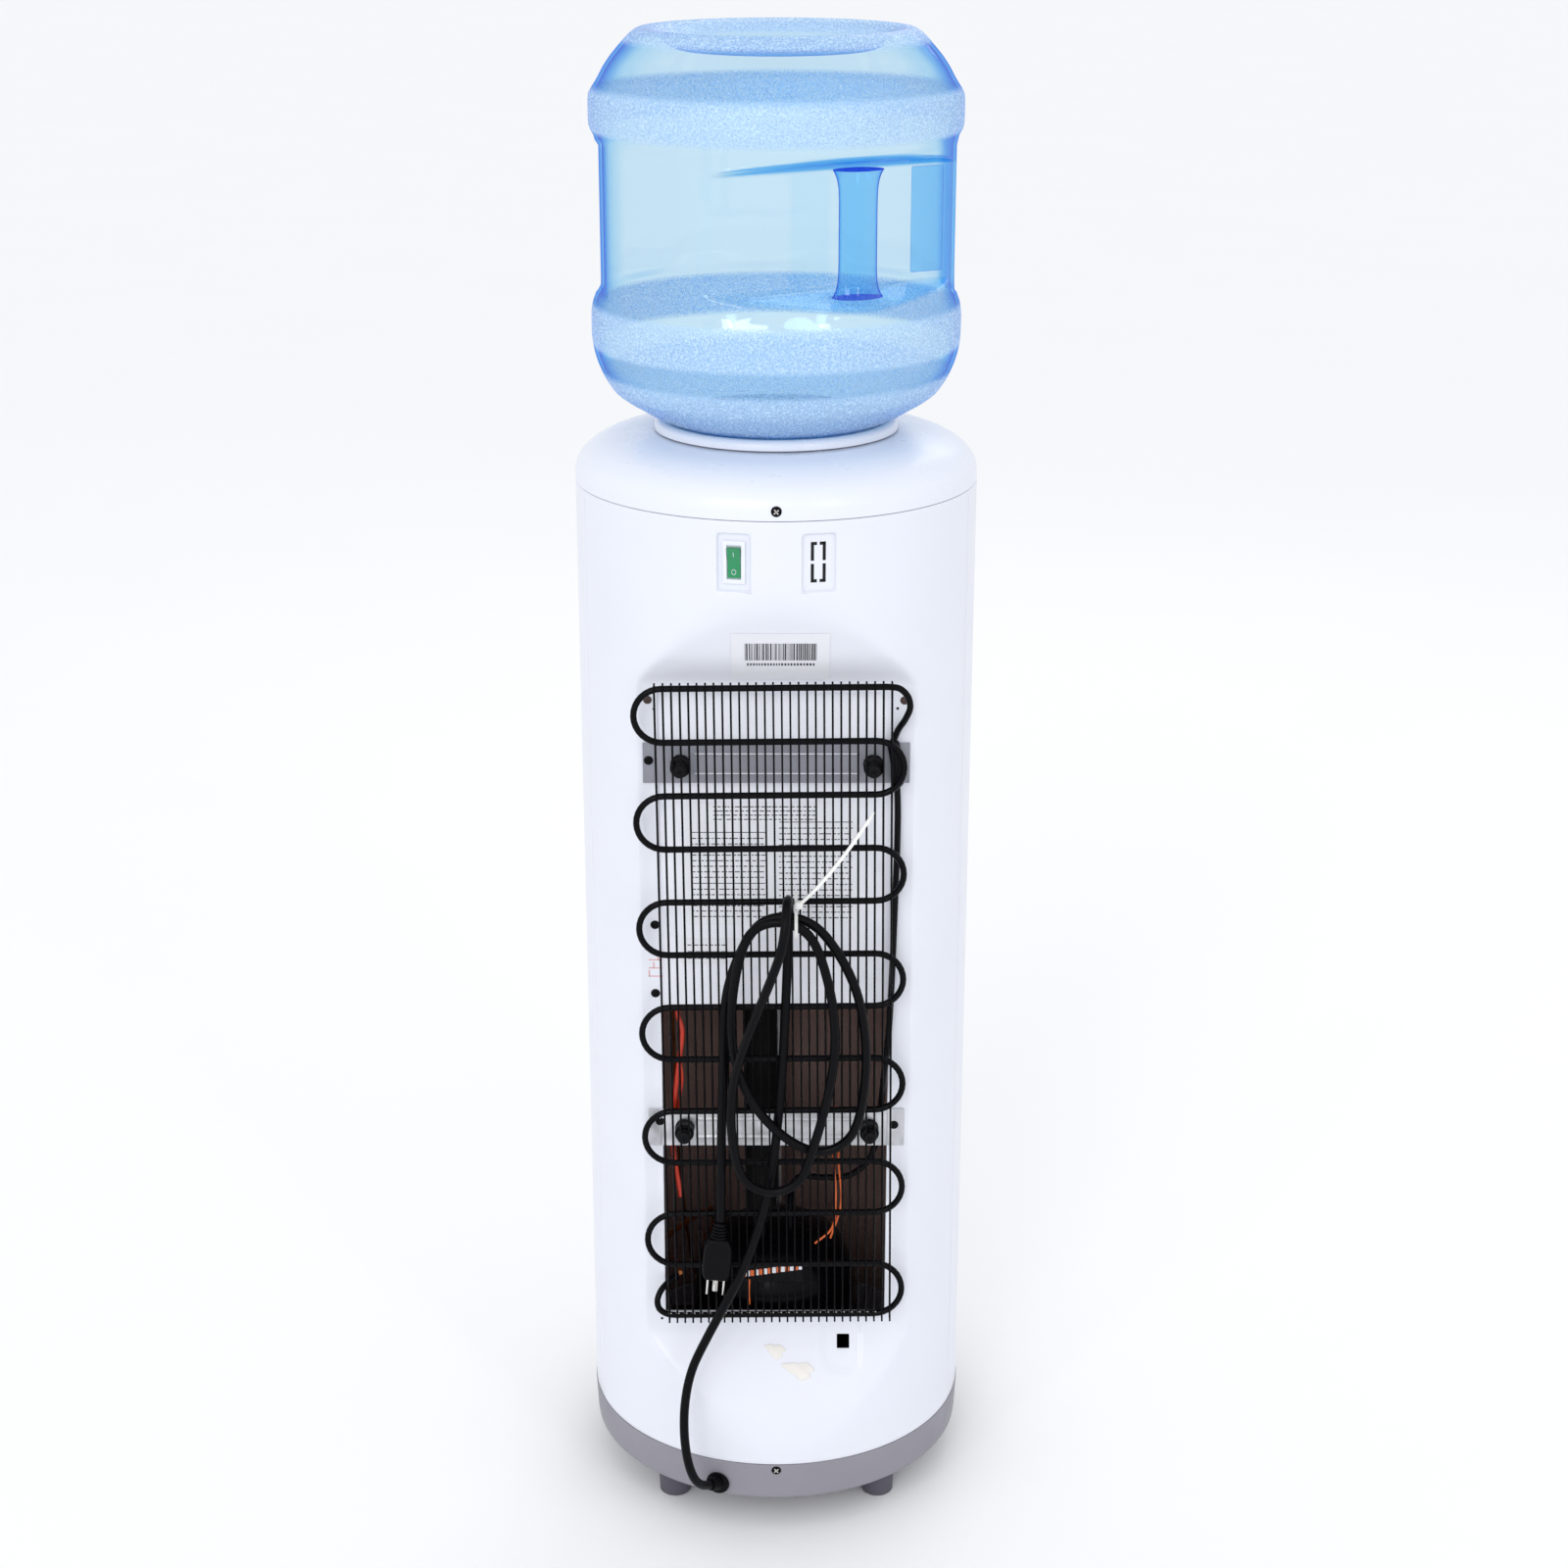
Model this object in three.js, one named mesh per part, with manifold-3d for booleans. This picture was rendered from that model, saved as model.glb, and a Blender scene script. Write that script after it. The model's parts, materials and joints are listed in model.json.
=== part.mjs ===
// Bottle-on-top hot and cold water dispenser, floor standing, with its rear condenser and mains cord.
// Millimetres, +Z up, origin on the body's axis at floor level. The taps face -Y, the condenser +Y.
import * as THREE from 'three';
import { mergeVertices } from 'three/addons/utils/BufferGeometryUtils.js';
import Module from 'manifold-3d';

const wasm = await Module();
wasm.setup();

// Cabinet
const BODY_R = 148;
const WALL = 2.5;
const GAP = 0.3;
const ROUND = 48; // facets round the body
const FOOT_HEIGHT = 27;
const FOOT_PLACE = [81, 89];
const BASE_TOP = 59.5;
const BASE_SCREW_Z = 55;
const DRAIN_AT = [0, -110];
const SHELL_TOP = 812;
const SEAM_ANGLE = 70; // each side of the rear
const FLAT_Y = 108;
const FLAT_Z = [156, 683.5];
const SLOPE = 0.565; // how far the recess's end slopes come out, per unit of height
const WINDOW_X = [-84, 86];
const WINDOW_Z = [172, 676];
const PLATE_BOTTOM = 430;
const SWITCH_TURN = -11.6; // degrees about the axis, from the rear
const SWITCH_Z = 782;

// Top and bottle
const COVER_HOLE_R = 80.5;
const COVER_SCREW_Z = 819;
const BOTTLE_WALL = 2.5;
const BOTTLE_ROUND = 28;
const GRIP_TURN = 29;
const GRIP_BACK = 83;
const GRIP_Z = [963, 1041];
const NECK_R = 27.5;
const PROBE_R = 9.5;

// Alcove, tray and taps
const ALCOVE_X = 69.5;
const ALCOVE_Z = [552.5, 769];
const ALCOVE_BACK = -82;
const TRAY_FLOOR = 555.2;
const TRAY_TOP = 576;
const GRILLE_Z = [571.5, 574];
const TAP_X = 32;
const TAP_Z = 714;
const SPOUT_Y = -112;
const PIVOT = [-108, 740]; // a lever's hinge: Y and Z
const LENS_Z = 790;

// Refrigeration and tanks
const COIL_Y = 125;
const ROWS = 13;
const rowHeight = (row) => 685.2 - 40.24 * row - 0.159 * row * row; // the rows spread out downwards
const ROW_TOP = rowHeight(0);
const ROW_LAST = rowHeight(ROWS - 1);
const TUBE_R = 2.4;
const HOSE_R = 4.4;
const WIRE_PITCH = 33.96;
const COMPRESSOR = [1, 32];
const COLD_TANK = [0, 12];
const HOT_TANK = [0, -45];

// Mains cord: its route, chosen by hand from the gland to the plug
const CORD_R = 3.5;
const CORD_ROUTE = [
  [52.3, 153.1, 45], [58.6, 163.5, 51], [65, 170.5, 65], [70, 168.5, 90], [70.5, 159.5, 118],
  [65, 152, 146], [52, 149.5, 175], [25, 148.5, 232], [7, 139, 288], [-3, 133.1, 370], [-9, 133.1, 508],
  [-9, 139.4, 527.6], [-8, 154.5, 534.2], [-7, 169.6, 527.6], [-4.5, 175.8, 508], [32, 150, 385],
  [31, 150, 328], [22, 150, 304], [3, 150, 296.5], [-16.5, 150, 305], [-27, 150, 332],
  [-43, 149.6, 410], [-38, 149.6, 467], [-22, 150, 508], [-2, 150, 516], [17, 146, 508],
  [31, 141.5, 462], [31, 141.7, 404], [15, 141.9, 363], [-11, 142.2, 335.5], [-34, 142.2, 326.5],
  [-55, 142, 338], [-66.5, 141.5, 398], [-57, 141.5, 463], [-29, 142, 509], [-11, 142.8, 517],
  [10, 139.2, 512], [34.5, 133.1, 462], [40, 134, 376], [42, 141.5, 269],
];
const CORD_END = CORD_ROUTE[CORD_ROUTE.length - 1];
const GLAND_AT = [45.4, 140.9, 39.6];
const GLAND_WAY = [0.307, 0.951, -0.046]; // square to the base's wall
const CORD_WAY = [0.46, 0.81, 0.36]; // the cord's own direction as it leaves
const PLUG_DEPTH = 17;
const PLUG_TILT = 4.5; // degrees its pins swing towards +X

const part = new THREE.Group();

// ---------- shape helpers ----------

function solid(geometry) {
  const bare = geometry.clone();
  bare.deleteAttribute('normal');
  bare.deleteAttribute('uv');
  const welded = mergeVertices(bare, 1e-3);
  const index = welded.index.array;
  const corner = (k) => new THREE.Vector3().fromBufferAttribute(welded.attributes.position, k);
  const triangles = [];
  let volume = 0;
  for (let i = 0; i < index.length; i += 3) {
    const [a, b, c] = [index[i], index[i + 1], index[i + 2]];
    if (a === b || b === c || a === c) continue;
    triangles.push([a, b, c]);
    volume += corner(a).dot(corner(b).cross(corner(c)));
  }
  const order = triangles.flatMap(([a, b, c]) => (volume < 0 ? [a, c, b] : [a, b, c]));
  return new wasm.Manifold(new wasm.Mesh({
    numProp: 3,
    vertProperties: new Float32Array(welded.attributes.position.array),
    triVerts: new Uint32Array(order),
  }));
}

function add(name, body, color, roughness, metalness = 0) {
  const shape = body.getMesh();
  const geometry = new THREE.BufferGeometry();
  geometry.setAttribute('position', new THREE.BufferAttribute(shape.vertProperties, 3));
  geometry.setIndex(new THREE.BufferAttribute(shape.triVerts, 1));
  geometry.computeVertexNormals();
  const mesh = new THREE.Mesh(geometry, new THREE.MeshStandardMaterial({ color, roughness, metalness }));
  mesh.name = name;
  part.add(mesh);
  return mesh;
}

// A box between two corners, turned by some degrees about the dispenser's axis.
function block(x, y, z, turn = 0) {
  const box = new THREE.BoxGeometry(x[1] - x[0], y[1] - y[0], z[1] - z[0]);
  box.translate((x[0] + x[1]) / 2, (y[0] + y[1]) / 2, (z[0] + z[1]) / 2);
  return solid(box.rotateZ(THREE.MathUtils.degToRad(turn)));
}

// A profile of [radius, height] points turned about a vertical axis at [x, y].
function turned(profile, segments, centre = [0, 0]) {
  const points = profile.map(([r, z]) => new THREE.Vector2(r, z));
  const lathe = new THREE.LatheGeometry(points, segments).rotateX(Math.PI / 2);
  return solid(lathe.rotateZ(Math.PI / 2).translate(centre[0], centre[1], 0));
}

function disc(r, z, segments = 16, centre = [0, 0]) {
  return turned([[0, z[0]], [r, z[0]], [r, z[1]], [0, z[1]]], segments, centre);
}

function pipe(inner, outer, z, segments = 16, centre = [0, 0]) {
  const loop = [[inner, z[0]], [outer, z[0]], [outer, z[1]], [inner, z[1]], [inner, z[0]]];
  return turned(loop, segments, centre);
}

// A round bar along +Y from y[0] to y[1], turned about the dispenser's axis.
function barY(r, y, x, z, segments = 12, turn = 0) {
  const bar = new THREE.CylinderGeometry(r, r, y[1] - y[0], segments);
  bar.translate(x, (y[0] + y[1]) / 2, z).rotateZ(THREE.MathUtils.degToRad(turn));
  return solid(bar);
}

function outline(points) {
  return new THREE.Shape(points.map(([x, y]) => new THREE.Vector2(x, y)));
}

// An outline of [y, z] points extruded along X.
function prismX(points, x, turn = 0) {
  const geometry = new THREE.ExtrudeGeometry(outline(points), { depth: x[1] - x[0], bevelEnabled: false });
  const basis = new THREE.Matrix4().makeBasis(
    new THREE.Vector3(0, 1, 0), new THREE.Vector3(0, 0, 1), new THREE.Vector3(1, 0, 0));
  geometry.applyMatrix4(basis).translate(x[0], 0, 0);
  return solid(geometry.rotateZ(THREE.MathUtils.degToRad(turn)));
}

// A pie slice about the axis, from and to in degrees from +X.
function slice(radius, from, to, z) {
  const shape = new THREE.Shape();
  shape.moveTo(0, 0);
  const steps = 12;
  for (let i = 0; i <= steps; i += 1) {
    const angle = THREE.MathUtils.degToRad(from + ((to - from) * i) / steps);
    shape.lineTo(radius * Math.cos(angle), radius * Math.sin(angle));
  }
  const geometry = new THREE.ExtrudeGeometry(shape, { depth: z[1] - z[0], bevelEnabled: false });
  return solid(geometry.translate(0, 0, z[0]));
}

// A round tube along a smooth curve through the points.
function tube(points, radius, sides = 8, steps = 20) {
  const curve = new THREE.CatmullRomCurve3(points.map((p) => new THREE.Vector3(...p)));
  return solid(sweep(curve, radius, sides, steps));
}

function sweep(curve, radius, sides, steps) {
  const section = new THREE.Shape();
  for (let i = 0; i < sides; i += 1) {
    const angle = (2 * Math.PI * i) / sides;
    const point = [radius * Math.cos(angle), radius * Math.sin(angle)];
    if (i === 0) section.moveTo(...point);
    else section.lineTo(...point);
  }
  section.closePath();
  return new THREE.ExtrudeGeometry(section, { steps, extrudePath: curve, bevelEnabled: false });
}

// ---------- colours ----------

const WHITE = 0xeff1f7;
const GREY = 0x73707f;
const BLACK = 0x15151a;
const COPPER = 0xb87333;
const STEEL = 0xb9bcc2;
const FOAM = 0xe8e4d8;
const HOSE = 0xdfe3e6;

// ---------- cabinet ----------

function basePan() {
  const pan = turned([
    [0, FOOT_HEIGHT], [140, FOOT_HEIGHT], [145, 27.8], [146.9, 30], [147.3, 34], [BODY_R + 0.6, BASE_TOP],
    [144.9, BASE_TOP], [144.9, 67], [142, 67], [142, BASE_TOP], [143.2, 38], [141.6, 33], [138, 31], [0, 31],
  ], ROUND);
  const screwHole = barY(2, [130, 160], 0, BASE_SCREW_Z, 8).add(barY(4, [146.6, 160], 0, BASE_SCREW_Z, 14));
  return pan.subtract(glandHole()).subtract(disc(6.4, [20, 40], 14, DRAIN_AT)).subtract(screwHole);
}

function foot(x, y) {
  const top = FOOT_HEIGHT - GAP;
  return turned([[0, 0], [11.7, 0], [12.7, 1], [13.4, top], [0, top]], 16, [x, y]);
}

// Everything behind the recess's flat and its two end slopes, moved out by offset.
function recessCutter(offset) {
  const far = 60;
  return prismX([
    [FLAT_Y + offset, FLAT_Z[0]], [FLAT_Y + far + offset, FLAT_Z[0] - far / SLOPE],
    [FLAT_Y + far + offset, FLAT_Z[1] + far / SLOPE], [FLAT_Y + offset, FLAT_Z[1]],
  ], [-BODY_R - 2, BODY_R + 2]);
}

// The rectangular recess that a rear switch or its blanking sits in, with its backing.
const recessBacking = (turn) => block([-13.8, 13.8], [142.4, 146], [SWITCH_Z - 22, SWITCH_Z + 22], turn);
const recessPocket = (turn) => block([-11.8, 11.8], [145, 150], [SWITCH_Z - 20, SWITCH_Z + 20], turn);

// Four L-shaped slots that outline the blanked switch hole.
function knockOutSlots() {
  const slots = [];
  for (const side of [-1, 1]) {
    for (const end of [-1, 1]) {
      const legX = side === 1 ? [3.6, 6.2] : [-6.2, -3.6];
      const legZ = [SWITCH_Z + end * 9 - 5, SWITCH_Z + end * 9 + 5];
      const armX = side === 1 ? [1.4, 4] : [-4, -1.4];
      const armZ = [SWITCH_Z + end * 12.8 - 1.2, SWITCH_Z + end * 12.8 + 1.2];
      slots.push(block(legX, [138, 150], legZ, -SWITCH_TURN), block(armX, [138, 150], armZ, -SWITCH_TURN));
    }
  }
  return slots;
}

function rearShell() {
  const z = [BASE_TOP + GAP, SHELL_TOP - GAP];
  const outer = disc(BODY_R, z, ROUND).subtract(recessCutter(0));
  const inner = disc(BODY_R - WALL, [0, 900], ROUND).subtract(recessCutter(-WALL));
  const arc = slice(200, 90 - SEAM_ANGLE, 90 + SEAM_ANGLE, [0, 900]);
  let shell = outer.subtract(inner).intersect(arc);
  shell = shell.subtract(block(WINDOW_X, [90, 120], WINDOW_Z));
  for (const turn of [SWITCH_TURN, -SWITCH_TURN]) {
    shell = shell.add(recessBacking(turn)).subtract(recessPocket(turn));
  }
  shell = shell.subtract(block([-6.7, 6.7], [130, 150], [SWITCH_Z - 13.7, SWITCH_Z + 13.7], SWITCH_TURN));
  for (const slot of knockOutSlots()) shell = shell.subtract(slot);
  return shell.subtract(block([-56.8, -47.2], [90, 140], [143.3, 152.7]));
}

function frontShell() {
  const z = [BASE_TOP + GAP, SHELL_TOP - GAP];
  const seam = 0.12; // degrees
  const rear = slice(200, 90 - SEAM_ANGLE - seam, 90 + SEAM_ANGLE + seam, [0, 900]);
  let shell = pipe(BODY_R - WALL, BODY_R, z, ROUND).subtract(rear);
  shell = shell.subtract(block([-ALCOVE_X, ALCOVE_X], [-160, -60], ALCOVE_Z));
  for (const x of [-12, 0, 12]) shell = shell.subtract(barY(3.4, [-155, -130], x, LENS_Z, 16));
  return shell;
}

function topCover() {
  const skirt = BODY_R - WALL - 0.5;
  let cover = turned([
    [BODY_R, SHELL_TOP], [BODY_R, 820], [145.3, 828], [138.5, 836.4], [126, 843], [COVER_HOLE_R, 848],
    [COVER_HOLE_R, 845], [125, 840], [136.5, 834], [142.8, 826.8], [145, 820], [145, 815],
    [skirt - WALL, 815], [skirt - WALL, 805], [skirt, 805], [skirt, SHELL_TOP], [BODY_R, SHELL_TOP],
  ], ROUND);
  cover = cover.subtract(barY(4.9, [146.4, 160], 0, COVER_SCREW_Z, 16));
  return cover.subtract(barY(2, [130, 160], 0, COVER_SCREW_Z, 8));
}

function collarRing() {
  return turned([
    [89.7, 848.4], [89.7, 852], [88.2, 854.2], [85.5, 855.4], [81.5, 855.2], [79.4, 852.6], [78.3, 838],
    [80, 838], [80, 848.4], [89.7, 848.4],
  ], 32);
}

function spillGuard() {
  return turned([
    [6, 735], [6, 843], [PROBE_R, 839], [PROBE_R, 776], [36, 776], [36, 800], [73.5, 836], [73.5, 845],
    [77.5, 845], [77.5, 834.6], [38.5, 798.6], [38.5, 773], [PROBE_R, 773], [PROBE_R, 735], [6, 735],
  ], 24);
}

function backPlate() {
  return block([-94, 96], [FLAT_Y - WALL - GAP - 1, FLAT_Y - WALL - GAP], [PLATE_BOTTOM, 690]);
}

// ---------- bottle ----------

const BOTTLE_OUTSIDE = [
  [0, 1118], [68, 1119], [84, 1130], [94, 1132.7], [103, 1129], [116, 1114.5], [125, 1101], [133.5, 1086],
  [133.5, 1063], [129, 1056], [129, 956], [134, 930], [132.5, 907], [125, 888], [114.5, 875.6], [94, 862],
  [64, 849], [40, 835], [NECK_R, 816], [NECK_R, 786],
];

// The bottle's wall moved inwards; the shape is convex enough to scale each point towards its middle.
function bottleInside() {
  const inside = BOTTLE_OUTSIDE.map(([r, z]) => {
    const lift = z > 1095 ? -BOTTLE_WALL : Math.max(0, (950 - z) / 40);
    return [Math.max(0, r - BOTTLE_WALL), z + Math.min(lift, BOTTLE_WALL)];
  });
  inside[inside.length - 1][1] = 780;
  return turned([...inside, [0, 780]], BOTTLE_ROUND);
}

function gripColumn(r, z) {
  const column = new THREE.CylinderGeometry(r, r, z[1] - z[0], 12).rotateX(Math.PI / 2);
  column.scale(1.15, 0.8, 1).translate(0, 115, (z[0] + z[1]) / 2);
  return solid(column.rotateZ(THREE.MathUtils.degToRad(GRIP_TURN)));
}

function bottle() {
  const outside = turned([...BOTTLE_OUTSIDE, [0, 786]], BOTTLE_ROUND);
  const thick = BOTTLE_WALL;
  const recess = block([-120, 120], [GRIP_BACK, 150], GRIP_Z, GRIP_TURN);
  const liningZ = [GRIP_Z[0] - thick, GRIP_Z[1] + thick];
  const lining = block([-120, 120], [GRIP_BACK - thick, 150], liningZ, GRIP_TURN);
  let body = outside.subtract(bottleInside().subtract(lining)).subtract(recess);
  body = body.add(gripColumn(13, [GRIP_Z[0] - 1.5, GRIP_Z[1] + 1.5]));
  return body.subtract(gripColumn(10.5, [GRIP_Z[0] - 5, GRIP_Z[1] + 5]));
}

// A snap-on collar: its middle has been pushed out, and a narrow lip is left under the neck.
function bottleCap() {
  const lip = 22;
  const skirt = NECK_R + GAP;
  return turned([
    [lip, 783], [31, 783], [31, 804], [skirt, 804], [skirt, 785.6], [lip, 785.6], [lip, 783],
  ], 24);
}

// ---------- alcove, tray and taps ----------

function alcoveLiner() {
  const thick = 2.2;
  const side = ALCOVE_X + thick;
  const height = [ALCOVE_Z[0] - thick, ALCOVE_Z[1] + thick];
  const outer = block([-side, side], [-150, ALCOVE_BACK + thick], height);
  const hollow = block([-ALCOVE_X, ALCOVE_X], [-160, ALCOVE_BACK], ALCOVE_Z);
  let liner = outer.intersect(disc(BODY_R - WALL - 0.4, [500, 800], ROUND)).subtract(hollow);
  for (const x of [-TAP_X, TAP_X]) liner = liner.subtract(barY(6.6, [-90, -70], x, TAP_Z, 16));
  return liner;
}

function dripTray() {
  const x = ALCOVE_X - 1;
  const wall = 2.2;
  const outer = block([-x, x], [-160, ALCOVE_BACK - 1], [ALCOVE_Z[0] + GAP, TRAY_TOP]);
  const inner = block([-x + wall, x - wall], [-160, ALCOVE_BACK - 1 - wall], [TRAY_FLOOR, 580]);
  const front = disc(147.4, [500, 600], ROUND);
  const frontInside = disc(144.8, [500, 600], ROUND);
  let tray = outer.intersect(front).subtract(inner.intersect(frontInside));
  for (const side of [-1, 1]) {
    for (const y of [-92, -122]) {
      const post = [side * (x - wall - 4), side * (x - wall + 0.5)].sort((a, b) => a - b);
      tray = tray.add(block(post, [y - 2, y + 2], [TRAY_FLOOR - 0.5, GRILLE_Z[0] - GAP]));
    }
  }
  return tray;
}

function dripGrille() {
  const x = ALCOVE_X - 4;
  const plate = block([-x, x], [-160, ALCOVE_BACK - 4], GRILLE_Z);
  let grille = plate.intersect(disc(144, [500, 600], ROUND));
  for (let k = -6; k <= 6; k += 1) {
    grille = grille.subtract(block([k * 9 - 2.4, k * 9 + 2.4], [-126, ALCOVE_BACK - 11], [560, 580]));
  }
  return grille;
}

function tapBody(x) {
  let tap = barY(10, [SPOUT_Y - 3, ALCOVE_BACK - GAP], x, TAP_Z, 16);
  tap = tap.add(barY(6, [ALCOVE_BACK - 3, -71], x, TAP_Z, 16));
  tap = tap.add(barY(13, [ALCOVE_BACK - 3, ALCOVE_BACK - GAP], x, TAP_Z, 16));
  tap = tap.add(turned([
    [0, 690], [6.5, 690], [7.6, 699], [11, 704], [11.5, 724], [9, 728], [0, 728],
  ], 20, [x, SPOUT_Y + 2]));
  tap = tap.subtract(disc(4.4, [680, 708], 12, [x, SPOUT_Y + 2]));
  tap = tap.subtract(barY(3.4, [SPOUT_Y, -60], x, TAP_Z - 2, 10));
  tap = tap.add(block([x - 4, x + 4], [PIVOT[0] - 7, PIVOT[0] + 6], [726, 743.5]));
  return tap.subtract(pinX(2.35, [x - 6, x + 6]));
}

// A round pin along X through a lever's pivot.
function pinX(r, x) {
  const pin = new THREE.CylinderGeometry(r, r, x[1] - x[0], 12).rotateZ(Math.PI / 2);
  return solid(pin.translate((x[0] + x[1]) / 2, ...PIVOT));
}

// A forked paddle that straddles the tap's post and is pressed down at its front end.
function tapLever(x) {
  const side = [
    [PIVOT[0] + 5, 734.5], [PIVOT[0] + 6, 751], [PIVOT[0] - 14, 754], [-146, 748.5], [-146, 745.5],
    [PIVOT[0] - 12, 748], [PIVOT[0] - 6, 734.5],
  ];
  let lever = prismX(side, [x - 8.5, x + 8.5]);
  lever = lever.subtract(block([x - 4.6, x + 4.6], [PIVOT[0] - 11.5, PIVOT[0] + 8], [730, 746.6]));
  return lever.add(pinX(1.9, [x - 6, x + 6]));
}

function hotLever() {
  return tapLever(-TAP_X).subtract(block([-TAP_X - 4.4, -TAP_X + 4.4], [-127, -112], [751, 756]));
}

function hotCatch() {
  const slider = block([-TAP_X - 3.9, -TAP_X + 3.9], [-126.6, -118.6], [751.3, 755]);
  return slider.add(block([-TAP_X - 3.9, -TAP_X + 3.9], [-126.6, -124.4], [754, 757]));
}

function lens(x) {
  const face = -Math.sqrt(BODY_R * BODY_R - x * x) + 0.5;
  const tip = new THREE.CylinderGeometry(3, 2, 1, 14).translate(x, face, LENS_Z);
  return solid(tip).add(barY(3, [face, face + 8], x, LENS_Z, 14));
}

// ---------- tanks ----------

function coldTank() {
  let tank = disc(54, [640, 745], 20, COLD_TANK).subtract(disc(53, [641, 744], 20, COLD_TANK));
  tank = tank.subtract(disc(10.2, [740, 750], 16)).add(pipe(10.2, 12, [743, 752], 16));
  for (const [x, y] of [[20, -8], [-20, 2]]) {
    tank = tank.add(disc(4, [622, 640.5], 10, [x, y])).subtract(disc(2.6, [620, 645], 8, [x, y]));
  }
  return tank;
}

function coldInsulation() {
  const jacket = turned([
    [0, 628], [74, 628], [74, 748], [64.5, 748], [64.5, 638], [0, 638],
  ], 20, COLD_TANK);
  const holes = [[20, -8], [-20, 2], [30, 50]];
  return holes.reduce((body, at) => body.subtract(disc(7, [620, 640], 10, at)), jacket);
}

function evaporatorCoil() {
  const points = [];
  const turns = 4;
  for (let i = 0; i <= turns * 8; i += 1) {
    const angle = (i / 8) * 2 * Math.PI;
    points.push([
      COLD_TANK[0] + 60 * Math.cos(angle), COLD_TANK[1] + 60 * Math.sin(angle), 655 + (i / 8) * 17,
    ]);
  }
  return tube(points, 3.2, 6, turns * 12);
}

function hotTank() {
  let tank = disc(42, [428, 522], 18, HOT_TANK).subtract(disc(41, [429, 521], 18, HOT_TANK));
  for (const at of [[-14, -60], [14, -34]]) {
    tank = tank.add(disc(4, [521, 535], 10, at)).subtract(disc(2.6, [517, 537], 8, at));
  }
  return tank.add(disc(4, [410, 428.5], 10, [0, -60])).subtract(disc(2.6, [408, 434], 8, [0, -60]));
}

function hotInsulation() {
  const jacket = turned([
    [0, 412], [58, 412], [58, 530], [49, 530], [49, 422], [0, 422],
  ], 18, HOT_TANK);
  return jacket.subtract(disc(6, [405, 430], 10, [0, -60]));
}

function heaterBand() {
  const band = pipe(42.4, 45, [442, 466], 18, HOT_TANK);
  return band.subtract(block([-4, 4], [HOT_TANK[1] + 35, HOT_TANK[1] + 50], [430, 480]));
}

function hotThermostat() {
  return barY(9, [HOT_TANK[1] + 42.4, HOT_TANK[1] + 47.4], 0, 495, 16);
}

function coldThermostat() {
  return block([74.6, 90], [0, 30], [660, 700]).add(barY(2, [28, 36], 82, 680, 8));
}

// ---------- refrigeration ----------

function compressor() {
  let dome = turned([
    [0, 45], [52, 45], [62, 52], [65, 66], [65, 128], [67.5, 129], [67.5, 134], [65, 135], [64, 168],
    [58, 190], [46, 203], [28, 210], [0, 212],
  ], 24, COMPRESSOR);
  const [x, y] = COMPRESSOR;
  dome = dome.add(block([x - 78, x + 78], [y - 45, y + 45], [44, 46.5]));
  dome = dome.add(disc(5, [200, 222], 10, [x + 11, y + 22]));
  return dome.add(disc(3.2, [150, 152], 8, [x - 60, y]));
}

function relayBox() {
  const [x, y] = COMPRESSOR;
  const box = block([x + 68, x + 84], [y - 22, y + 22], [84, 122]);
  return box.subtract(block([x + 79, x + 90], [y - 16, y + 16], [90, 116]));
}

// The condenser's centreline in its own plane: [to the right as seen from behind, up, forward].
function condenserLine() {
  const line = [[86, 640, -12], [92, 655, -9], [98, 667, -3], [92, 681, 0]];
  const right = 94;
  const left = -100;
  for (let row = 0; row < ROWS; row += 1) {
    const leftward = row % 2 === 0;
    const side = leftward ? -1 : 1;
    const above = (rowHeight(Math.max(row - 1, 0)) - rowHeight(Math.max(row, 1))) / 2;
    const below = (rowHeight(row) - rowHeight(row + 1)) / 2;
    const from = row === 0 ? right - 12 : (leftward ? right - above : left + above);
    const to = leftward ? left + below : right - below;
    line.push([from, rowHeight(row), 0], [to, rowHeight(row), 0]);
    if (row === ROWS - 1) break;
    for (const angle of [45, 90, 135]) {
      const turn = THREE.MathUtils.degToRad(angle);
      line.push([to + side * below * Math.sin(turn), rowHeight(row) - below + below * Math.cos(turn), 0]);
    }
  }
  line.pop();
  line.push([-82, ROW_LAST, 0], [-91, ROW_LAST + 4, 0], [-94, ROW_LAST + 12, -1]);
  line.push([-89, ROW_LAST + 21, -8], [-79, ROW_LAST + 24, -20]);
  return line;
}

const SKEW = THREE.MathUtils.degToRad(0.55); // the condenser hangs this far off square
const MIDDLE = (ROW_TOP + ROW_LAST) / 2;

function skewed(u, w, forward) {
  const right = u * Math.cos(SKEW) - (w - MIDDLE) * Math.sin(SKEW);
  const up = MIDDLE + u * Math.sin(SKEW) + (w - MIDDLE) * Math.cos(SKEW);
  return [-right, COIL_Y + forward, up];
}

function condenser() {
  const points = condenserLine().map((p) => new THREE.Vector3(...skewed(...p)));
  let coil = solid(polyTube(points, TUBE_R, 6));
  for (let k = 0; k < 6; k += 1) {
    const wire = new THREE.BoxGeometry(1.6, 1.6, ROW_TOP - ROW_LAST + 9);
    wire.rotateY(-SKEW).translate(...skewed(-84.8 + WIRE_PITCH * k, MIDDLE - 1, TUBE_R + 0.3));
    coil = coil.add(solid(wire));
  }
  return coil;
}

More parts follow.
